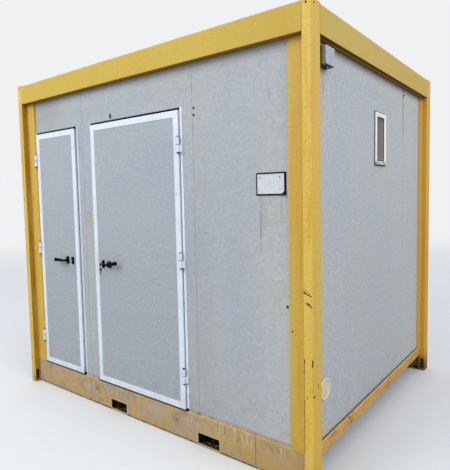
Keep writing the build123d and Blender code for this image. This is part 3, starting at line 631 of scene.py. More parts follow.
def wallFinish():
    facts = wallPanel
    skin = Finish("wallPanel", facts, Specular_IOR_Level=0.35)
    x, y, z = skin.axes
    front, side = -cabin["wallY"], cabin["wallX"]

    def onFront(markX, markZ, halfX, halfZ, soft):
        return skin.spot((markX, front, markZ), (halfX, 0.02, halfZ), soft)

    cloud = skin.noise(1.5, 3)
    tone = skin.streaks(2.2, 1.3, 2, 11)
    mottle = skin.noise(8, 4, shift=3)
    fine = skin.noise(150, 3, shift=2)
    pebble = skin.streaks(85, 170, 3, 4)
    ragged = skin.noise(55, 3, shift=9).fade(0.3, 0.55)
    onSide = x.fade(1.33, 1.34)
    atFront = y.fade(-1.08, -1.09)
    skin.start(cloud.fade(0.4, 0.6) * 0.6, "base", "warm")
    skin.over(tone.fade(0.46, 0.58) * (0.55 - onSide * 0.2), "cool")
    skin.over(skin.streaks(9, 0.5, 4, 1).fade(0.5, 0.72) * 0.3, "cool")
    skin.over(skin.streaks(45, 1.0, 3, 6).fade(0.58, 0.75) * 0.12, "water")
    skin.over(pebble.fade(0.5, 0.68) * 0.4, "water")
    bands = skin.noise(1, 2, stretch=(1, 9, 0.25), shift=7).fade(0.48, 0.62)
    skin.over(bands * y.fade(-0.3, -0.6) * onSide * 0.28, "coolBand")
    # painted light on the front wall near the right post and on the far part of the right wall
    nearPostLight = x.fade(0.85, 1.24) * (z.fade(2.3, 0.7) * 0.7 + 0.3) * atFront
    farSideLight = y.fade(-0.1, 0.75) * onSide * (z.fade(2.2, 0.3) * 0.4 + 0.6)
    skin.over(nearPostLight * 0.36 + farSideLight * 0.26, "bright")
    skin.over(x.band(0.44, 0.6, 0.14) * z.fade(1.9, 1.2) * atFront * 0.35, "water")
    # painted light on the walls just under the top rails
    skin.over(z.fade(2.3, 2.43) * 0.55, "paleAndPaintedLight")
    low = z.fade(0.5, 0.22) * mottle.fade(0.42, 0.68)
    skin.over(low * 0.2, "dirt")
    skin.over(z.fade(0.222, 0.215) * fine.fade(0.3, 0.6) * 0.55, "brown")
    spatter = skin.cells(70, 6).fade(0.16, 0.1) * z.fade(0.34, 0.24) * mottle.fade(0.42, 0.56)
    skin.over(spatter * 0.35, "brown")
    for *box, strength in facts["runs"]:
        skin.over(onFront(*box, 0.95) * strength, "run")
    # painted shade over the upper left of the front wall, in the water-stain colour
    skin.over(onFront(-1.08, 2.32, 0.4, 0.3, 0.95) * 0.8, "water")
    haze = onFront(0.62, 1.7, 0.13, 0.1, 0.9).most(onFront(0.66, 1.36, 0.16, 0.06, 0.9))
    skin.over(haze * 0.35, "haze")
    for name, strength, *box in facts["frontMarks"]:
        skin.over(onFront(*box, 0.7) * ragged * strength, name)
    for name, strength, markY, markZ, reachY, reachZ in facts["sideMarks"]:
        mark = skin.spot((side, markY, markZ), (0.02, reachY, reachZ), 0.7)
        skin.over(mark * ragged * strength, name)
    skin.over(skin.spot(facts["daub"], (0.034, 0.02, 0.04), 0.25) * 0.35, "dark")
    daub = skin.blend(skin.noise(110, 3, shift=5).fade(0.52, 0.56), *facts["daubPaint"])
    skin.over(skin.spot(facts["daub"], (0.03, 0.02, 0.034), 0.4), daub)
    wavy = y - 0.553 + (skin.noise(14, 2, shift=5) - 0.5) * 0.03
    jointLine = (abs(wavy) - 0.005).fade(0.006, 0.0) * onSide * z.fade(1.95, 2.15)
    skin.over(jointLine * (0.35 + ragged * 0.65), "dark")
    (middleY, middleZ), (halfY, halfZ) = cabin["window"], cabin["windowHalf"]
    roundWindow = (abs(y - middleY) - halfY).most(abs(z - middleZ) - halfZ).fade(0.016, 0.004)
    skin.over(roundWindow * onSide * 0.85, "dark")
    skin.over(skin.cells(28).fade(0.07, 0.04) * mottle.fade(0.54, 0.6) * 0.35, "dirt")
    skin.stipple(0.36 + onSide * 0.14, "dotDark", "dotPale")
    skin.over(abs(x).fade(1.285, 1.283) * abs(y).fade(1.035, 1.033), "inside")
    roughness = 0.48 + mottle * 0.12 + low * 0.2
    return skin.done(roughness, pebble * 0.9 + fine * 0.3 + cloud * 1.2, 0.3, 0.0006)


# Door leaves, their white edging and the frames round them.

doorSkin = {
    "high": (170, 177, 185),
    "low": (167, 174, 179),
    "cool": (160, 171, 183),
    "pebble": (148, 155, 163),
    "smudge": (132, 132, 130),
    "kicked": (146, 140, 124),
    "dotDark": (152, 159, 166),
    "dotPale": (188, 195, 202),
    "handled": ((-0.34, 0.2), (-0.8, 0.16)),  # x and half width of the smudged places round the levers
}


def doorFinish():
    skin = Finish("doorSkin", doorSkin, Specular_IOR_Level=0.35)
    z = skin.axes[2]
    cloud = skin.noise(2.1, 4, shift=5)
    mottle = skin.noise(9, 4, shift=3)
    pebble = skin.streaks(90, 180, 3, 4)
    fine = skin.noise(170, 3)
    skin.start(z.fade(0.5, 1.9), "low", "high")
    skin.over(cloud.fade(0.4, 0.66) * 0.35, "cool")
    skin.over(pebble.fade(0.5, 0.7) * 0.2, "pebble")
    handled = mostOf([skin.spot((x, cabin["leafY"], 1.1), (half, 0.03, 0.16), 0.9)
                      for x, half in doorSkin["handled"]])
    skin.over(handled * mottle.fade(0.42, 0.66) * 0.35, "smudge")
    skin.over(z.fade(0.45, 0.25) * mottle.fade(0.45, 0.66) * 0.3, "kicked")
    scuff = skin.noise(1, 2, stretch=(20, 20, 110), shift=7, warp=1).fade(0.68, 0.72)
    skin.over(scuff * cloud.fade(0.5, 0.62) * 0.3, "smudge")
    skin.over(skin.cells(24, 2).fade(0.07, 0.04) * mottle.fade(0.5, 0.6) * 0.5, "smudge")
    skin.stipple(0.45, "dotDark", "dotPale")
    return skin.done(0.46 + mottle * 0.12, pebble * 0.8 + fine * 0.3 + cloud, 0.28, 0.0005)


whiteTrim = {
    "base": (226, 235, 246),
    "shade": (206, 215, 226),
    "strip": (158, 166, 174),  # the wide strip at the narrow door's lock side
    "grime": (132, 126, 112),
    "mark": (60, 60, 62),
}


def trimFinish():
    coat = Finish("trimWhite", whiteTrim)
    x, y, z = coat.axes
    mottle = coat.noise(7, 4)
    fine = coat.noise(90, 4, shift=3)
    coat.start(mottle.fade(0.42, 0.68) * 0.35, "base", "shade")
    coat.over(coat.streaks(24, 1.6, 3, 5).fade(0.55, 0.75) * 0.25, "shade")
    coat.over(z.fade(0.42, 0.21) * mottle.fade(0.35, 0.7) * 0.08, "grime")
    coat.over(x.band(-0.662, -0.637, 0.001) * z.fade(0.2, 0.21) * 0.35, "strip")
    # painted shade on the jambs and head deep in the door openings, in the grime colour
    coat.over(y.fade(-1.088, -1.075) * y.fade(-1.061, -1.063) * 0.55, "grime")
    nearLock = coat.spot((-0.452, -1.104, 1.12), (0.03, 0.05, 0.22), 0.9)
    coat.over(nearLock * fine.fade(0.45, 0.6) * 0.4, "grime")
    coat.over(coat.streaks(60, 34, 3, 9).fade(0.66, 0.7) * mottle.fade(0.5, 0.58) * 0.6, "mark")
    seams = []
    for height in cabin["hingeHeights"]:
        away = abs(z - height)
        seams += [away.fade(0.0035, 0.0015), abs(away - 0.0495).fade(0.0035, 0.001)]
    coat.over(mostOf(seams) * y.fade(-1.1045, -1.106) * 0.75, "mark")
    return coat.done(0.36 + fine * 0.16, fine * 0.25 + mottle * 0.6, 0.22, 0.0004)


def blackFinish():
    plastic = Finish("handleBlack", Specular_IOR_Level=0.06)
    rub = plastic.noise(40, 3, shift=2)
    plastic.start(rub.fade(0.55, 0.75) * 0.4, (7, 7, 8), (26, 26, 28))
    return plastic.done(0.42 + rub * 0.22, plastic.noise(300, 3), 0.25, 0.0002)


def rubberFinish():
    pale, dark = (10, 10, 11), (30, 29, 28)
    rubber, grain = speckled("sealBlack", (120, 4), 0.45, 0.7, 1, pale, dark, Specular_IOR_Level=0.2)
    return rubber.done(0.75 + grain * 0.2, grain, 0.3, 0.0003)


# Fittings of the right wall.

def windowFrameFinish():
    plastic, mottle = speckled("windowWhite", (20, 4), 0.4, 0.7, 0.4, (240, 240, 236), (220, 219, 212))
    plastic.over(plastic.streaks(80, 4, 3, 3).fade(0.58, 0.74) * 0.3, (170, 163, 148))
    foot = plastic.axes[2].fade(1.85, 1.84) * (0.6 + mottle.fade(0.3, 0.6) * 0.4)
    plastic.over(foot * 0.85, (140, 138, 130))
    return plastic.done(0.34 + mottle * 0.15, mottle, 0.15, 0.0004)


windowGlass = {
    "shade": (57, 53, 39),
    "blind": (106, 85, 58),
    "reed": (88, 84, 68),
    "dust": (94, 90, 76),
    # painted shade at the top of the glass, under the window's head
    "head": (16, 14, 10),
    "foot": (112, 110, 96),
    "edge": (52, 46, 38),
}


def glassFinish():
    glass = Finish("windowGlass", windowGlass, Specular_IOR_Level=0.25, Coat_Weight=0.08)
    y, z = glass.axes[1:]
    ripple = {"Vector": glass.place, "Scale": 26, "Distortion": 0.6, "Detail": 1}
    reeds = glass.node("ShaderNodeTexWave", {"bands_direction": "Y"}, ripple)
    glass.start(y.fade(-0.03, 0.05), "shade", "blind")
    glass.over(reeds * 0.6, "reed")
    glass.over(glass.noise(9, 3).fade(0.4, 0.7) * 0.3, "dust")
    # painted shade at the top of the glass, under the window's head
    glass.over(z.fade(2.1, 2.15) * 0.95, "head")
    glass.over(z.fade(1.885, 1.862) * 0.5, "foot")
    glass.over((abs(y - cabin["window"][0]) - 0.071).fade(-0.014, -0.004) * 0.6, "edge")
    return glass.done(0.3, reeds, 0.5, 0.0012)


boxPlastic = {
    "lid": ((164, 172, 182), (148, 156, 165)),
    # painted shade of the box's back part, warmed by painted yellow light from the post
    "rear": ((86, 74, 52), (62, 53, 37)),
    # painted shade of the faces looking towards the post
    "side": ((52, 34, 22), (142, 143, 136)),  # of the rear and of the lid
    # painted light on the box's top
    "top": (214, 220, 226),
    # painted highlight on the lid's rounded front edges
    "lipHighlight": (232, 238, 244),
    # painted shade under the box
    "undersideShade": (26, 21, 15),
    "run": (120, 112, 94),
}


def boxFinish():
    facts = boxPlastic
    plastic = Finish("boxGrey", facts)
    x, _, z = plastic.axes
    mottle = plastic.noise(26, 4)
    spread = mottle.fade(0.35, 0.7) * 0.5
    onLid = x.fade(1.367, 1.372)
    rear, lid = [plastic.blend(spread, *facts[part]) for part in ("rear", "lid")]
    # the back part is painted as shade, the lid keeps its own grey
    plastic.start(onLid * 0.92 + 0.08, rear, lid)
    # painted light on the box's top
    plastic.over(z.fade(2.404, 2.412) * 0.7, "top")
    # painted shade on the faces looking towards the post
    plastic.over(plastic.facing(1, -1) * 0.9, plastic.blend(onLid, *facts["side"]))
    # painted highlight on the lid's rounded front edges
    plastic.over(plastic.facing(0, 1).fade(0.95, 0.6) * x.fade(1.389, 1.392) * 0.7, "lipHighlight")
    # painted shade on the box's downward faces
    plastic.over(plastic.facing(2, -1) * 0.95, "undersideShade")
    plastic.over(plastic.streaks(100, 8, 3, 2).fade(0.56, 0.72) * 0.45, "run")
    return plastic.done(0.42 + mottle * 0.2, plastic.noise(260, 3) + mottle, 0.25, 0.0003)


def coverFinish():
    plastic, mottle = speckled("coverCream", (30, 4), 0.35, 0.7, 0.6, (214, 204, 172), (198, 186, 150))
    y, z = plastic.axes[1:]
    middleY, middleZ = cabin["cover"]
    away = (y - middleY).reach(z - middleZ)
    # painted highlight all round the cover's rim
    plastic.over(away.fade(0.05, 0.055) * 0.7, (246, 242, 226))
    plastic.over(away.fade(0.06, 0.063) * 0.7, (150, 138, 108))
    plastic.over(away.band(0.0505, 0.0525, 0.0015) * 0.6, (142, 130, 100))
    plastic.over(plastic.streaks(90, 7, 3, 2).fade(0.58, 0.72) * 0.4, (150, 138, 108))
    return plastic.done(0.42 + mottle * 0.18, mottle, 0.2, 0.0004)


# Parts out of the photograph's view: underframe, floor and roof.

def primerFinish():
    paint, mottle = speckled("steelPrimer", (9, 5), 0.35, 0.68, 1, (96, 62, 46), (74, 56, 44))
    fine = paint.noise(80, 4, shift=2)
    paint.over(fine.fade(0.58, 0.7) * 0.7, (124, 76, 40))
    paint.over(paint.facing(2, 1) * 0.5, (120, 108, 88))
    return paint.done(0.62 + fine * 0.3, fine + mottle, 0.4, 0.0008)


def floorFinish():
    board = Finish("floorBoard")
    grain = board.noise(1, 5, stretch=(3, 60, 60), warp=0.8)
    mottle = board.noise(6, 4, shift=3)
    joint = abs(abs(board.axes[0]) - 0.625).fade(0.0035, 0.0015)
    board.start(grain.fade(0.35, 0.65), (132, 104, 74), (104, 80, 56))
    board.over(mottle.fade(0.5, 0.7) * 0.5, (118, 110, 98))
    board.over(joint, (40, 32, 26))
    return board.done(0.45 + mottle * 0.3, grain - joint * 2, 0.3, 0.0006)


def zincFinish():
    sheet = Finish("roofZinc", Metallic=0.6)
    spangle = sheet.cells(34)
    mottle = sheet.noise(5, 5, shift=4)
    settled = mottle.fade(0.46, 0.68) * 0.8
    sheet.start(spangle.fade(0.1, 0.7), (166, 170, 174), (134, 139, 144))
    sheet.over(settled, (118, 110, 96))
    sheet.over(sheet.noise(1, 4, stretch=(30, 3, 3), shift=2).fade(0.56, 0.7) * 0.5, (120, 84, 54))
    return sheet.done(0.36 + settled * 0.4, spangle * 0.3 + mottle, 0.2, 0.0006)


# Screws, locks, sealant, welds, mud, flashings and the number plate.

metals = {  # name, bright and dull colour, roughness
    "steel": ("screwSteel", (176, 176, 172), (110, 104, 96), 0.35),
    "rusty": ("screwRusty", (92, 70, 52), (52, 40, 32), 0.6),
    "brass": ("lockBrass", (128, 120, 96), (84, 76, 56), 0.4),
    "dark": ("slotDark", (18, 18, 18), (34, 30, 28), 0.7),
}

pastes = {  # name, pale and dark colour
    "sealant": ("jointSealant", (156, 160, 162), (134, 136, 136)),
    "weld": ("weldPainted", (212, 180, 88), (192, 158, 72)),
    "weldFaded": ("weldFaded", (170, 148, 104), (120, 92, 56)),
}


def metalFinish(name, bright, dull, roughness):
    metal, mottle = speckled(name, (90, 4), 0.4, 0.7, 1, bright, dull, Metallic=0.7)
    return metal.done(roughness + mottle * 0.25, mottle, 0.3, 0.0002)


def pasteFinish(name, pale, dark):  # sealant and painted welds
    paste, mottle = speckled(name, (50, 4), 0.35, 0.65, 1, pale, dark)
    paste.over(paste.streaks(90, 9, 3, 3).fade(0.55, 0.7) * 0.5, (92, 82, 66))
    return paste.done(0.7, mottle, 0.5, 0.0005)


def mudFinish():
    mud = Finish("packedMud", Specular_IOR_Level=0.2)
    lumps = mud.cells(60, 3)
    grit = mud.noise(160, 4)
    mud.start(lumps.fade(0.15, 0.6), (86, 66, 52), (44, 30, 22))
    mud.over(grit.fade(0.55, 0.7) * 0.5, (122, 104, 90))
    return mud.done(0.9, grit - lumps, 0.6, 0.001)


def flashingFinish():
    strip, fine = speckled("footFlashing", (60, 4), 0.35, 0.65, 1, (194, 168, 126), (164, 138, 98))
    strip.over(strip.noise(14, 4, shift=3).fade(0.56, 0.68) * 0.6, (128, 88, 58))
    strip.over(abs(strip.axes[0]).fade(1.338, 1.342) * 0.75, (112, 68, 42))
    return strip.done(0.7, fine, 0.4, 0.0004)


def plateFinish():
    pale, dark = (214, 218, 226), (194, 197, 203)
    plate, mottle = speckled("plateWhite", (30, 4), 0.4, 0.7, 0.4, pale, dark, Specular_IOR_Level=0.25)
    x, _, z = plate.axes
    plate.over(plate.streaks(60, 9, 3, 3).fade(0.56, 0.74) * 0.25, (150, 148, 142))
    right, up = x - cabin["plate"][0], z - cabin["plate"][1]
    rim = (abs(right) - 0.086).most(abs(up) - 0.0545)
    plate.over(rim.fade(-0.0005, 0.0005), (9, 9, 10))
    # painted shadow on the plate's bent lower right corner
    plate.over((right * 0.66 - up).fade(0.098, 0.102) * 0.9, (14, 14, 16))
    return plate.done(0.38 + mottle * 0.2, mottle, 0.2, 0.0003)


finishes = {}

nodeFinishes = (  # the first part of a name that fits gives the node's finish
    ("wall", "wall"), ("hinge", "trim"), ("post_", "yellow"), ("top_rail_", "yellow"),
    ("rail_front", "frontRail"), ("rail_back", "frontRail"), ("rail_", "sideRail"), ("fork_", "frontRail"),
    ("floor_joists", "primer"), ("floor_deck", "floor"), ("roof_sheet", "zinc"),
    ("round_cover", "cover"), ("window_glass", "glass"), ("window_frame", "windowFrame"),
    ("junction_box", "box"), ("_leaf", "door"), ("_levers", "black"), ("_furniture", "black"),
    ("door", "trim"), ("", "wall"),
)


def buildFinishes():
    for build in (yellowFinish, frontRailFinish, sideRailFinish, wallFinish, doorFinish, trimFinish,
                  blackFinish, rubberFinish, windowFrameFinish, glassFinish, boxFinish, coverFinish,
                  primerFinish, floorFinish, zincFinish, plateFinish, mudFinish, flashingFinish):
        finishes[build.__name__.removesuffix("Finish")] = build()
    for kind, facts in metals.items():
        finishes[kind] = metalFinish(*facts)
    for kind, facts in pastes.items():
        finishes[kind] = pasteFinish(*facts)
    for name, node in nodes.items():
        kind = next(kind for part, kind in nodeFinishes if part in name)
        node.data.materials.clear()
        node.data.materials.append(finishes[kind])


# Mesh helpers. Every shape is added to a bmesh in the cabin's own metres.

corners = [(sx, sy) for sx in (-1, 1) for sy in (-1, 1)]  # of the cabin, as signs


def addBlock(bm, cornerA, cornerB, bevel=0.0):  # between any two opposite corners
    xs, ys, zs = [sorted(pair) for pair in zip(cornerA, cornerB)]
    verts = [bm.verts.new((x, y, z)) for z in zs for y in ys for x in xs]
    loops = ((0, 2, 3, 1), (4, 5, 7, 6), (0, 1, 5, 4), (2, 6, 7, 3), (0, 4, 6, 2), (1, 3, 7, 5))
    faces = [bm.faces.new([verts[i] for i in loop]) for loop in loops]
    if bevel:
        edges = list({edge for face in faces for edge in face.edges})
        bmesh.ops.bevel(bm, geom=edges, offset=bevel, segments=2, profile=0.5, affect="EDGES")


def circle(sides):
    turns = [2 * math.pi * i / sides for i in range(sides)]
    return [(math.cos(turn), math.sin(turn)) for turn in turns]


def crossAxes(direction):
    helper = Vector((0, 0, 1)) if abs(direction.z) < 0.9 else Vector((1, 0, 0))
    first = direction.cross(helper).normalized()
    return first, direction.cross(first).normalized()


def addRing(bm, middle, first, second, sides):  # first and second are its half axes; none gives a point
    if first.length < 1e-6:
        return [bm.verts.new(middle)]
    return [bm.verts.new(middle + first * c + second * s) for c, s in circle(sides)]


def joinRings(bm, rings, sides, closed=False):
    pairs = list(zip(rings, rings[1:]))
    if closed:
        pairs.append((rings[-1], rings[0]))
    for low, high in pairs:
        for i in range(sides):
            j = (i + 1) % sides
            loop = [low[i % len(low)], low[j % len(low)], high[j % len(high)], high[i % len(high)]]
            unique = list(dict.fromkeys(loop))
            if len(unique) > 2:
                bm.faces.new(unique)
    if not closed:
        for ring in (rings[0], rings[-1]):
            if len(ring) > 2:
                bm.faces.new(ring)


def addTurned(bm, place, axis, profile, sides=20):  # profile: radius and height pairs, from the bottom up
    axis = Vector(axis).normalized()
    first, second = crossAxes(axis)
    rings = [addRing(bm, Vector(place) + axis * height, first * radius, second * radius, sides)
             for radius, height in profile]
    joinRings(bm, rings, sides)


def addTube(bm, points, radii, sides=10, closed=False):
    points = [Vector(p) for p in points]
    count = len(points)
    rings = []
    first = None
    for i, point in enumerate(points):
        ahead = points[(i + 1) % count] if closed or i < count - 1 else point
        behind = points[i - 1] if closed or i > 0 else point
        direction = (ahead - behind).normalized()
        if first is None:
            first, second = crossAxes(direction)
        else:
            first = (first - direction * first.dot(direction)).normalized()
            second = direction.cross(first)
        rings.append(addRing(bm, point, first * radii[i], second * radii[i], sides))
    joinRings(bm, rings, sides, closed)


def addBead(bm, start, stop, radius, seed, step=0.005):  # a weld or sealant bead, a little uneven
    start, stop = Vector(start), Vector(stop)
    count = max(4, int((stop - start).length / step))
    chance = random.Random(seed)
    points, radii = [], []
    for i in range(count + 1):
        wander = Vector([chance.uniform(-1, 1) * radius * 0.12 for _ in range(3)])
        points.append(start.lerp(stop, i / count) + wander)
        radii.append(radius * (0.86 + 0.14 * math.sin(i * 2.1) + chance.uniform(-0.06, 0.06)))
    radii[0] *= 0.4
    radii[-1] *= 0.4
    addTube(bm, points, radii, 6)


screwProfiles = {  # radius and height, both in radii of the screw's head
    "pan": ((1, -0.4), (1, 0.15), (0.92, 0.42), (0.62, 0.62), (0.34, 0.66), (0.3, 0.36), (0, 0.34)),
    "flat": ((1, -0.3), (1, 0.08), (0.9, 0.2), (0.42, 0.2), (0.36, -0.02), (0, -0.04)),
    "washer": (
        (1.7, -0.1), (1.7, 0.1), (1.6, 0.2), (1.05, 0.24), (1, 0.3), (1, 0.85), (0.86, 1), (0, 1.02)),
}


def addScrew(bm, place, outward, radius, kind="pan"):
    addTurned(bm, place, outward, [(r * radius, h * radius) for r, h in screwProfiles[kind]], 14)


def finishPiece(name, bm, kind, body, angle=38):
    bmesh.ops.recalc_face_normals(bm, faces=bm.faces)
    mesh = bpy.data.meshes.new(name)
    bm.to_mesh(mesh)
    bm.free()
    mesh.materials.append(finishes[kind])
    mesh.shade_smooth()
    mesh.set_sharp_from_angle(angle=math.radians(angle))
    piece = bpy.data.objects.new(name, mesh)
    bpy.context.scene.collection.objects.link(piece)
    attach(piece, body)


# Number plate, left bare, in its black holder on the front wall; the holder reaches past the plate's right
# and lower edges as a black sheet for the shadow there.

numberPlate = {
    "back": -1.0935,  # y
    "size": (0.19, 0.127),
    "thickness": 0.0025,
    "corner": 0.01,
    "bend": 0.016,  # how far the lower right corner stands out
    "wave": 0.0008,
    "rim": (0.0015, 0.0065, 0.0012),  # from and to this far in from the edge, and this high
    "grid": (36, 26),
    # reaches past the plate's right and lower edges, a black sheet standing for their shadow
    "holder": ((1.0222, -1.0934, 1.6205), (1.2172, -1.0922, 1.749)),
    "screws": ((-0.067, 0.038), (0.06, 0.038)),
}


def buildNumberPlate():
    facts = numberPlate
    (cx, cz), cy = cabin["plate"], facts["back"]
    width, height = facts["size"]
    columns, rows = facts["grid"]
    rimLow, rimHigh, rimRise = facts["rim"]
    thickness = facts["thickness"]
    bm = bmesh.new()
    front, back = [], []
    for j in range(rows + 1):
        for i in range(columns + 1):
            u, v = i / columns, j / rows
            dx, dz = (u - 0.5) * width, (v - 0.5) * height
            overX = abs(dx) - (width / 2 - facts["corner"])
            overZ = abs(dz) - (height / 2 - facts["corner"])
            if min(overX, overZ) > 0:  # draw the corners round
                share = 1 - max(overX, overZ) / math.hypot(overX, overZ)
                dx -= math.copysign(overX * share, dx)
                dz -= math.copysign(overZ * share, dz)
            inset = min(width / 2 - abs(dx), height / 2 - abs(dz))
            raised = rimRise if rimLow < inset < rimHigh else 0.0
            fold = max(0.0, (u - 0.8) / 0.2 + (0.24 - v) / 0.24 - 0.75)  # grows to the lower right corner
            stand = facts["bend"] * min(fold, 1.2) ** 1.6
            stand += facts["wave"] * math.sin(u * 5 + 1) * math.sin(v * 4)
            front.append(bm.verts.new((cx + dx, cy - thickness - stand - raised, cz + dz)))
            back.append(bm.verts.new((cx + dx, cy - stand, cz + dz)))
    stride = columns + 1
    for side in (front, back):
        for a in [j * stride + i for j in range(rows) for i in range(columns)]:
            bm.faces.new([side[k] for k in (a, a + 1, a + stride + 1, a + stride)])
    rim = list(range(stride)) + [j * stride + columns for j in range(1, rows + 1)]
    rim += [rows * stride + i for i in range(columns - 1, -1, -1)]
    rim += [j * stride for j in range(rows - 1, 0, -1)]
    for a, b in zip(rim, rim[1:] + rim[:1]):
        bm.faces.new([front[a], front[b], back[b], back[a]])
    finishPiece("number_plate", bm, "plate", "cabin")
    bm = bmesh.new()
    # black holder, wider than the plate on the right and below, standing for the shadow there
    addBlock(bm, *facts["holder"], 0.0006)
    finishPiece("plate_holder_and_shadow", bm, "rubber", "cabin")
    bm = bmesh.new()
    for dx, dz in facts["screws"]:
        addScrew(bm, (cx + dx, cy - thickness, cz + dz), (0, -1, 0), 0.004)
    finishPiece("plate_screws", bm, "rusty", "cabin")


# Seals in the gaps round each door, whose black strips also darken the gaps as painted shade, washers, caps
# and screws of its hinges, and the parts of its lock.

doors = {
    "door_1": {
        "clear": (-1.228, -0.66), "leaf": (-1.22, -0.678), "sealWidths": (0.003, 0.0128),
        "hingeX": -1.224, "spindleX": -0.833, "lockX": -0.763, "roseHeight": 0.066,
        "leverSide": -1, "leverRise": 0.0,  # degrees above level at rest
        "blocks": (
            ((-0.6725, -1.1035, 0.2035), (-0.65, -1.0965, 0.226)),
            ((-0.6725, -1.1, 2.17), (-0.66, -1.088, 2.1915)),
        ),
    },
    "door_2": {
        "clear": (-0.479, 0.446), "leaf": (-0.471, 0.435), "sealWidths": (0.003, 0.004),
        "hingeX": 0.4405, "spindleX": -0.303, "lockX": -0.373, "roseHeight": 0.054,
        "leverSide": 1, "leverRise": 10.0,
        "blocks": (
            ((-0.482, -1.1, 0.2035), (-0.4765, -1.085, 0.214)),
            ((0.446, -1.1035, 0.2035), (0.463, -1.0965, 0.22)),
        ),
    },
}

doorFacts = {
    "bottom": 0.209, "top": 2.176,  # of the leaf
    "head": 2.192,  # underside of the frame's head
    "sealFront": -1.0895, "sealBack": -1.0572, "sealHead": 0.008, "sealFoot": 0.014,
    "sillSeal": (-1.0985, -1.06),
    "stopMiddle": -1.0595, "stopReach": 0.006, "stopRadius": 0.0022,  # the seal between leaf and stop
    "hingeY": -1.114, "plateFront": -1.107, "plateMiddle": 0.019,
    "hingeScrews": (0.012, 0.04), "hingeHead": 0.0034,
    "lockHeight": 1.129, "cylinders": ((-1.114, -1), (-1.052, 1)),  # y and direction of the two faces
    "keyhole": (0.0008, 0.0035),  # half its width and height
    "lockScrews": (-0.0268, 0.0225), "lockHead": 0.0019, "roseHead": 0.0026, "roseEdge": 0.0085,
}

hingeProfiles = {
    "washer": ((0.0056, -0.00045), (0.0086, -0.00045), (0.0088, 0.0), (0.0086, 0.00045), (0.0056, 0.00045)),
    "foot": ((0.0086, -0.0002), (0.0086, 0.003), (0.0072, 0.0058), (0.004, 0.0072), (0, 0.0075)),
    "cap": ((0.0086, -0.0002), (0.0087, 0.0014), (0.0068, 0.0032), (0, 0.004)),
    "lockFace": ((0.0068, -0.0005), (0.0068, 0.0002), (0.0062, 0.0007), (0, 0.0007)),
}


def buildDoorSeals(name, door):
    facts = doorFacts
    left, right = door["clear"]
    front, back, head = facts["sealFront"], facts["sealBack"], facts["head"]
    foot = facts["bottom"] + facts["sealFoot"]
    bm = bmesh.new()
    # black strips on the jambs and under the head, which darken the gaps as painted shade
    for x, width in zip((left, right), (door["sealWidths"][0], -door["sealWidths"][1])):
        addBlock(bm, (x, front, foot), (x + width, back, head - 0.0005), 0.001)
    addBlock(bm, (left, front, head - facts["sealHead"]), (right, back, head - 0.0002), 0.0015)
    reach = facts["stopReach"]
    x0, x1 = door["leaf"][0] + reach, door["leaf"][1] - reach
    z0, z1 = facts["bottom"] + reach, facts["top"] - reach
    turns = [(x0, z0), (x1, z0), (x1, z1), (x0, z1)]
    path = []
    for (ax, az), (bx, bz) in zip(turns, turns[1:] + turns[:1]):
        path += [(ax + (bx - ax) * t, facts["stopMiddle"], az + (bz - az) * t)
                 for t in (0.01, 0.03, 0.5, 0.97, 0.99)]
    addTube(bm, path, [facts["stopRadius"]] * len(path), 8, closed=True)
    sill = cabin["frontRailTop"]
    sillFront, sillBack = facts["sillSeal"]
    addBlock(bm, (left + 0.002, sillFront, sill + 0.0002), (right - 0.002, sillBack, sill + 0.0045), 0.0008)
    for low, high in door["blocks"]:
        addBlock(bm, low, high, 0.0012)
    finishPiece(name + "_seals_and_gap_shade", bm, "rubber", "cabin")


def buildHingeParts(name, door):
    facts = doorFacts
    x, y = door["hingeX"], facts["hingeY"]
    screwX = x - door["leverSide"] * facts["plateMiddle"]
    reach = cabin["hingeKnuckle"] + 0.0005
    washers, caps, screws = bmesh.new(), bmesh.new(), bmesh.new()
    for z in cabin["hingeHeights"]:
        addTurned(washers, (x, y, z), (0, 0, 1), hingeProfiles["washer"])
        addTurned(washers, (x, y, z - reach), (0, 0, -1), hingeProfiles["foot"])
        addTurned(caps, (x, y, z + reach), (0, 0, 1), hingeProfiles["cap"])
        for dz in facts["hingeScrews"]:
            addScrew(screws, (screwX, facts["plateFront"], z + dz), (0, -1, 0), facts["hingeHead"], "flat")
    finishPiece(name + "_hinge_washers", washers, "rubber", "cabin")
    finishPiece(name + "_hinge_caps", caps, "rubber", name)
    finishPiece(name + "_hinge_screws", screws, "steel", name)


def buildLockParts(name, door):
    facts = doorFacts
    x, height = door["lockX"], facts["lockHeight"]
    halfX, halfZ = facts["keyhole"]
    brass, slots, screws = bmesh.new(), bmesh.new(), bmesh.new()
    for y, out in facts["cylinders"]:
        addTurned(brass, (x, y, height), (0, out, 0), hingeProfiles["lockFace"], 24)
        addBlock(slots, (x - halfX, y, height - halfZ), (x + halfX, y + out * halfX, height + halfZ))
    screwY = cabin["handleY"] + 0.0004
    for dz in facts["lockScrews"]:
        addScrew(screws, (x, screwY, height + dz), (0, -1, 0), facts["lockHead"])
    roseReach = door["roseHeight"] / 2 - facts["roseEdge"]
    for dz in (-roseReach, roseReach):
        addScrew(screws, (door["spindleX"], screwY, height + dz), (0, -1, 0), facts["roseHead"])
    finishPiece(name + "_lock_face", brass, "brass", name)
    finishPiece(name + "_keyhole", slots, "dark", name)
    finishPiece(name + "_lock_screws", screws, "steel", name)


leverFacts = {
    "depth": 0.0085,  # how far the grip's middle lies behind its outermost face
    "sides": 24,
    "shape": (  # distance from the spindle, half depth, half height
        (0.014, 0.0095, 0.0096), (0.024, 0.0093, 0.0104), (0.04, 0.0088, 0.0116),
        (0.07, 0.0088, 0.0126), (0.098, 0.0089, 0.0145), (0.124, 0.0089, 0.0149),
        (0.129, 0.0079, 0.0134), (0.1315, 0.005, 0.009), (0.1325, 0.0, 0.0)),
}


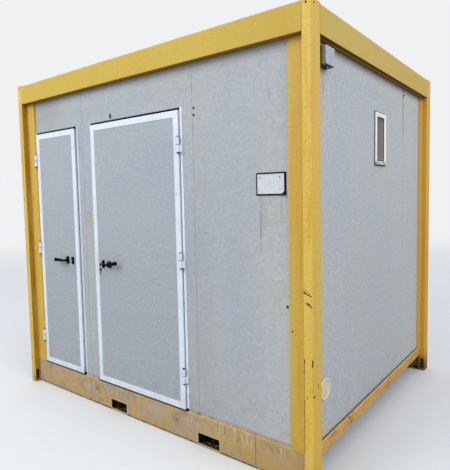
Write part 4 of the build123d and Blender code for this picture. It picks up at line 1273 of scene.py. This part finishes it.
def buildLeverGrips(name, door):
    low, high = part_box(name + "_levers")
    rise = math.radians(door["leverRise"])
    along = Vector((door["leverSide"] * math.cos(rise), 0, math.sin(rise)))
    upright = Vector((-along.z, 0, along.x))
    sides = leverFacts["sides"]
    bm = bmesh.new()
    for y in (low.y + leverFacts["depth"], high.y - leverFacts["depth"]):
        spindle = Vector((door["spindleX"], y, doorFacts["lockHeight"]))
        rings = [addRing(bm, spindle + along * away, Vector((0, halfDepth, 0)), upright * halfHeight, sides)
                 for away, halfDepth, halfHeight in leverFacts["shape"]]
        joinRings(bm, rings, sides)
    finishPiece(name + "_lever_grips", bm, "black", "lever_" + name[-1], 50)


keyFacts = {
    "lockFront": -1.1148,
    "bow": (0.0088, 0.013),  # half width and half height
    "bowMiddle": -1.1315,
    "bowHole": 0.0028,
    "ringRadius": 0.0125, "ringWire": 0.0011, "ringLean": (0.94, 0.34),  # how far it reaches along x and y
    "spareBow": (0.0085, 0.0135),
    "sparePlace": -0.011,  # its bow's middle below the ring
    "spareShank": ((0.0009, 0.0026, 0.0485), (0.0009, 0.0022, -0.0225)),  # back and on from the ring's foot
}


def addKeyBow(bm, centre, halfWidth, halfHeight, thickness):  # a rounded square with a hole, across x
    hole = keyFacts["bowHole"]
    sides = 28
    layers = []
    square = [[math.copysign(abs(part) ** 0.75, part) for part in pair] for pair in circle(sides)]
    outline = [(halfWidth * c, halfHeight * s) for c, s in square]
    inner = [(hole * c, hole * s - halfHeight * 0.45) for c, s in circle(sides)]
    for offset in (-thickness / 2, thickness / 2):
        for loop in (outline, inner):
            layers.append([bm.verts.new(Vector(centre) + Vector((offset, -u, v))) for u, v in loop])
    outLow, holeLow, outHigh, holeHigh = layers
    for i in range(sides):
        j = (i + 1) % sides
        for a, b in ((outLow, holeLow), (holeHigh, outHigh), (outHigh, outLow), (holeLow, holeHigh)):
            bm.faces.new([a[i], a[j], b[j], b[i]])


def buildKey():
    facts = keyFacts
    x, z = doors["door_2"]["lockX"], doorFacts["lockHeight"]
    middle = facts["bowMiddle"]
    bm = bmesh.new()
    addBlock(bm, (x - 0.001, middle + 0.006, z - 0.003), (x + 0.001, facts["lockFront"], z + 0.003), 0.0004)
    addKeyBow(bm, (x, middle, z), *facts["bow"], 0.0022)
    finishPiece("door_2_key", bm, "brass", "door_2")
    bm = bmesh.new()
    radius = facts["ringRadius"]
    leanX, leanY = facts["ringLean"]
    ringMiddle = Vector((x, middle, z - facts["bow"][1] * 0.45 - radius + 0.0015))
    ring = [ringMiddle + radius * Vector((s * leanX, s * leanY, c)) for c, s in circle(36)]
    addTube(bm, ring, [facts["ringWire"]] * 36, 8, closed=True)
    finishPiece("door_2_key_ring", bm, "steel", "door_2")
    bm = bmesh.new()
    low = ringMiddle - Vector((0, 0, radius))
    addKeyBow(bm, low + Vector((0, 0, facts["sparePlace"])), *facts["spareBow"], 0.002)
    x0, y0, z0 = low - Vector(facts["spareShank"][0])
    x1, y1, z1 = low + Vector(facts["spareShank"][1])
    addBlock(bm, (x0, y0, z0), (x1, y1, z1), 0.0004)
    finishPiece("door_2_spare_key", bm, "dark", "door_2")


def buildDoorDetails():
    for name, door in doors.items():
        buildDoorSeals(name, door)
        buildHingeParts(name, door)
        buildLockParts(name, door)
        buildLeverGrips(name, door)
    buildKey()


# Weld beads of the frame.

weldFacts = {
    "sideX": 1.343, "sideY": 1.048,  # inner edges of the posts' outer faces
    "thin": 0.0014, "thick": 0.0022,
    "lowRailTop": 0.19, "footTop": 0.0105,
    "sideRail": (1.355, 0.146, 0.207),  # x, low and high
    "railJoints": ((0.995, 0.01, 0.192), (0.765, 0.15, 0.196), (-0.585, 0.012, 0.192)),
    "jointFace": -1.1046,
}


def buildWelds():
    facts = weldFacts
    low, high = cabin["railUnderside"] + 0.006, cabin["railTop"] - 0.006
    foot, thin, thick = facts["footTop"], facts["thin"], facts["thick"]
    top, bottom = bmesh.new(), bmesh.new()
    seed = 3
    for sx, sy in corners:
        seed += 7
        ox, oy, px, py = sx * cabin["postX"], sy * cabin["postY"], sx * facts["sideX"], sy * facts["sideY"]
        railY = sy * cabin["railY"]
        railX, railLow, railHigh = facts["sideRail"]
        railX *= sx
        inX, inY = ox - sx * 0.001, oy - sy * 0.001
        beads = (
            (top, (px, oy - sy * 0.0006, low), (px, oy - sy * 0.0006, high), thin),
            (top, (ox - sx * 0.0006, py, low), (ox - sx * 0.0006, py, high), thin),
            (bottom, (px, railY, 0.014), (px, railY, facts["lowRailTop"]), thick),
            (bottom, (px, inY, foot), (ox - sx * 0.005, inY, foot), thick),
            (bottom, (inX, oy - sy * 0.005, foot), (inX, py, foot), thick),
            (bottom, (railX, py, railLow), (railX, py, railHigh), thick),
        )
        for i, (bm, start, stop, radius) in enumerate(beads):
            addBead(bm, start, stop, radius, seed + i)
    y = facts["jointFace"]
    for x, z0, z1 in facts["railJoints"]:
        addBead(bottom, (x, y, z0), (x, y, z1), thin, int(x * 10) + 40)
    finishPiece("top_weld_beads", top, "weld", "cabin")
    finishPiece("foot_weld_beads", bottom, "weldFaded", "cabin")


# Mud packed into the feet of the four posts.

mudFacts = {
    "x": (1.3482, 1.3945), "y": (1.0542, 1.1445), "z": (0.0112, 0.104),
    "cuts": 7, "lump": 0.012, "shrink": 0.06, "seed": 12,
}


def buildFootMud():
    facts = mudFacts
    rough = random.Random(facts["seed"])
    (x0, x1), (y0, y1), (low, high) = facts["x"], facts["y"], facts["z"]
    bm = bmesh.new()
    for sx, sy in corners:
        addBlock(bm, (sx * x0, sy * y0, low), (sx * x1, sy * y1, high))
    bmesh.ops.subdivide_edges(bm, edges=bm.edges[:], cuts=facts["cuts"], use_grid_fill=True)
    for vert in bm.verts:
        x, y, z = vert.co
        share = (z - low) / (high - low)
        middle = Vector((math.copysign((x0 + x1) / 2, x), math.copysign((y0 + y1) / 2, y), z))
        vert.co += (middle - vert.co) * rough.uniform(0.0, facts["shrink"]) * share
        if share > 0.99:
            vert.co.z += rough.uniform(-facts["lump"], facts["lump"])
    finishPiece("foot_mud", bm, "mud", "cabin", 60)


# Sealant in the panel joints, flashings at the foot of the walls, screws and a clip on them.

wallFittings = {
    "frontJoints": ((-0.588, 2.196), (0.55, 0.206)),  # x and the joint's foot
    "sideJointFoot": 0.22,
    "sealant": 0.0016,
    "flashing": 0.0022,  # thickness
    "frontFlashings": ((-1.236, -1.2335), (-0.637, -0.483), (0.464, 1.236)),
    "backFlashings": ((-1.236, 1.236),),
    "frontStrip": (1.0922, 1.1035, 1.0938, 0.211),  # inner and outer edge, face and top of the upstand
    "sideStrip": (1.3422, 1.3545, 1.3438, 0.2225),
    "sideFlashing": 0.996,  # half its length
    "edge": 0.0006,  # bevel
    "frontScrews": ((0.5631, 2.1723), (0.5625, 2.1296), (1.2162, 1.0045)),
    "sideScrew": (0.565, 2.395),
    "flangeScrews": ((-1.2944, 1.6441), (1.2543, 0.8753)), "flangeFace": -1.107,
    "heads": (0.0048, 0.0032),  # radius of the screws' heads, on the walls and on the flanges
    "clipScrew": ((-0.241, -1.0965, 2.228), (0, -1, 0), 0.003),
    "backScrews": ((-1.1, -0.3, 0.3, 1.1), (0.262, 2.38)),
    "leftScrews": ((-0.86, -0.2, 0.52), (0.27, 2.39)),
    "clip": (((-0.247, -1.0965, 2.206), (-0.235, -1.092, 2.236), 0.0012),
             ((-0.245, -1.101, 2.206), (-0.237, -1.096, 2.214), 0.001)),
}


def buildWallFittings():
    facts = wallFittings
    wallX, wallY = cabin["wallX"], cabin["wallY"]
    head, radius = cabin["railUnderside"], facts["sealant"]
    bm = bmesh.new()
    for x, foot in facts["frontJoints"]:
        for y in (0.001 - wallY, wallY - 0.001):
            addBead(bm, (x, y, foot), (x, y, head), radius, int(x * 10) + 20, 0.02)
    y = cabin["joint"]
    for x in (wallX - 0.001, 0.001 - wallX):
        addBead(bm, (x, y, facts["sideJointFoot"]), (x, y, head), radius, 31, 0.02)
    finishPiece("joint_sealant", bm, "sealant", "cabin")

    bm = bmesh.new()
    edge, half = facts["edge"], facts["sideFlashing"]
    foot = cabin["frontRailTop"] + 0.0001
    bend = foot + facts["flashing"]
    inner, outer, face, top = facts["frontStrip"]
    for sy, strips in ((-1, facts["frontFlashings"]), (1, facts["backFlashings"])):
        for x0, x1 in strips:
            addBlock(bm, (x0, sy * outer, foot), (x1, sy * inner, bend), edge)
            addBlock(bm, (x0, sy * face, bend), (x1, sy * inner, top), edge)
    foot = cabin["sideRailTop"] + 0.0001
    bend = foot + facts["flashing"]
    inner, outer, face, top = facts["sideStrip"]
    for sx in (-1, 1):
        addBlock(bm, (sx * inner, -half, foot), (sx * outer, half, bend), edge)
        addBlock(bm, (sx * inner, -half, bend), (sx * face, half, top), edge)
    finishPiece("foot_flashings", bm, "flashing", "cabin")

    sideY, sideZ = facts["sideScrew"]
    backXs, backZs = facts["backScrews"]
    leftYs, leftZs = facts["leftScrews"]
    wide, narrow = facts["heads"]
    screws = [((x, -wallY, z), (0, -1, 0), wide) for x, z in facts["frontScrews"]]
    screws.append(((wallX, sideY, sideZ), (1, 0, 0), wide))
    screws += [((x, facts["flangeFace"], z), (0, -1, 0), narrow) for x, z in facts["flangeScrews"]]
    screws += [((x, wallY, z), (0, 1, 0), wide) for x in backXs for z in backZs]
    screws += [((-wallX, y, z), (-1, 0, 0), wide) for y in leftYs for z in leftZs]
    bm = bmesh.new()
    for screw in screws:
        addScrew(bm, *screw, "washer")
    finishPiece("panel_screws", bm, "rusty", "cabin")

    bm = bmesh.new()  # small dark clip over the wide door
    for block in facts["clip"]:
        addBlock(bm, *block)
    addScrew(bm, *facts["clipScrew"])
    finishPiece("wall_clip", bm, "dark", "cabin")


# Gaskets and drain caps of the window, lid screws and gland of the box, sealant and screws of the cover.

sideFittings = {
    "windowFace": 1.35, "glassFace": 1.346,
    "stile": 0.036, "rail": 0.027,  # width of the window frame's upright and level members
    "innerGasket": 0.006, "outerGasket": 0.004,
    "drains": ((-0.062, 0.062), -0.1585),  # from the window's middle
    "drainProfile": ((0.0052, -0.0004), (0.0052, 0.0012), (0.004, 0.0024), (0, 0.0028)),
    "lidScrews": ((-0.958, -0.871), (2.322, 2.402)), "lidFace": 1.395,
    "gland": (1.3685, -0.9145), "glandFoot": 2.301, "boxFoot": 2.3102,
    "glandSeal": ((0.0092, -0.002), (0.0096, 0.0), (0.0088, 0.0024), (0.0056, 0.0034), (0, 0.0036)),
    "glandCollar": ((0.0135, -0.0002), (0.0135, 0.0022), (0.0118, 0.0034), (0.0108, 0.0034)),
    "coverRadius": 0.0636, "coverFace": 1.347, "coverScrew": 0.042,
    "screwHead": 0.0034,
}


def addFrame(bm, x0, x1, halfY, halfZ, width):  # four strips round a rectangle, inside its edges
    middleY, middleZ = cabin["window"]
    y0, y1, z0, z1 = middleY - halfY, middleY + halfY, middleZ - halfZ, middleZ + halfZ
    for y, z, endY, endZ in (
            (y0, z0, y0 + width, z1), (y1 - width, z0, y1, z1),
            (y0 + width, z0, y1 - width, z0 + width), (y0 + width, z1 - width, y1 - width, z1)):
        addBlock(bm, (x0, y, z), (x1, endY, endZ), 0.0006)


def buildSideFittings():
    facts = sideFittings
    halfY, halfZ = cabin["windowHalf"]
    bm = bmesh.new()
    glass, outer = facts["glassFace"], facts["outerGasket"]
    addFrame(bm, glass, glass + 0.0016, halfY - facts["stile"], halfZ - facts["rail"], facts["innerGasket"])
    addFrame(bm, cabin["wallX"], cabin["wallX"] + 0.0025, halfY + outer, halfZ + outer, outer)
    finishPiece("window_gaskets", bm, "rubber", "cabin")
    bm = bmesh.new()
    drainYs, drainZ = facts["drains"]
    middleY, middleZ = cabin["window"]
    for dy in drainYs:
        drain = (facts["windowFace"], middleY + dy, middleZ + drainZ)
        addTurned(bm, drain, (1, 0, 0), facts["drainProfile"])
    finishPiece("window_drain_caps", bm, "windowFrame", "cabin")

    bm = bmesh.new()
    screwYs, screwZs = facts["lidScrews"]
    for y in screwYs:
        for z in screwZs:
            addScrew(bm, (facts["lidFace"] - 0.0004, y, z), (1, 0, 0), facts["screwHead"], "flat")
    finishPiece("box_lid_screws", bm, "steel", "cabin")
    bm = bmesh.new()
    addTurned(bm, (*facts["gland"], facts["glandFoot"]), (0, 0, -1), facts["glandSeal"])
    addTurned(bm, (*facts["gland"], facts["boxFoot"]), (0, 0, -1), facts["glandCollar"])
    finishPiece("box_gland_seal", bm, "rubber", "cabin")

    cy, cz = cabin["cover"]
    radius = facts["coverRadius"]
    bm = bmesh.new()
    ring = [(cabin["wallX"] + 0.0008, cy + radius * c, cz + radius * s) for c, s in circle(64)]
    addTube(bm, ring, [0.0018 + 0.0005 * math.sin(i * 1.7) for i in range(64)], 6, closed=True)
    finishPiece("cover_sealant", bm, "sealant", "cabin")
    bm = bmesh.new()
    for dz in (-facts["coverScrew"], facts["coverScrew"]):
        addScrew(bm, (facts["coverFace"], cy, cz + dz), (1, 0, 0), facts["screwHead"], "flat")
    finishPiece("cover_screws", bm, "steel", "cabin")


# Roof screws, the trim round the roof sheet, rims of the lifting holes.

roofFacts = {
    "half": (1.297, 1.047), "pitch": 0.2, "screwRows": (-0.95, -0.32, 0.32, 0.95),
    "trimWidth": 0.03, "trimThickness": 0.0016, "trimRise": 0.0022,
    "liftHole": (1.3715, 1.099, 2.5996), "liftRadius": 0.015, "rim": 0.0012,
}


def buildRoofDetails():
    facts = roofFacts
    sheetLow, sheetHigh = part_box("roof_sheet")
    halfX, halfY = facts["half"]
    bm = bmesh.new()
    for y in facts["screwRows"]:
        for i in range(-6, 7):
            addScrew(bm, (i * facts["pitch"], y, sheetHigh.z), (0, 0, 1), 0.0055, "washer")
    finishPiece("roof_screws", bm, "steel", "cabin")
    bm = bmesh.new()
    width = facts["trimWidth"]
    z0 = sheetLow.z + facts["trimRise"]
    z1 = z0 + facts["trimThickness"]
    inner = halfY - width - 0.001
    for sy in (-1, 1):
        addBlock(bm, (-halfX, sy * halfY, z0), (halfX, sy * (halfY - width), z1), 0.0005)
    for sx in (-1, 1):
        addBlock(bm, (sx * halfX, -inner, z0), (sx * (halfX - width), inner, z1), 0.0005)
    finishPiece("roof_edge_trim", bm, "sealant", "cabin")
    bm = bmesh.new()
    x, y, z = facts["liftHole"]
    radius = facts["liftRadius"]
    for sx, sy in corners:
        ring = [(sx * x + radius * c, sy * y + radius * s, z) for c, s in circle(32)]
        addTube(bm, ring, [facts["rim"]] * 32, 6, closed=True)
    finishPiece("lifting_hole_rims", bm, "weld", "cabin")


for build in (buildStudio, buildCamera, buildFinishes, buildNumberPlate, buildDoorDetails, buildWelds,
              buildFootMud, buildWallFittings, buildSideFittings, buildRoofDetails):
    build()
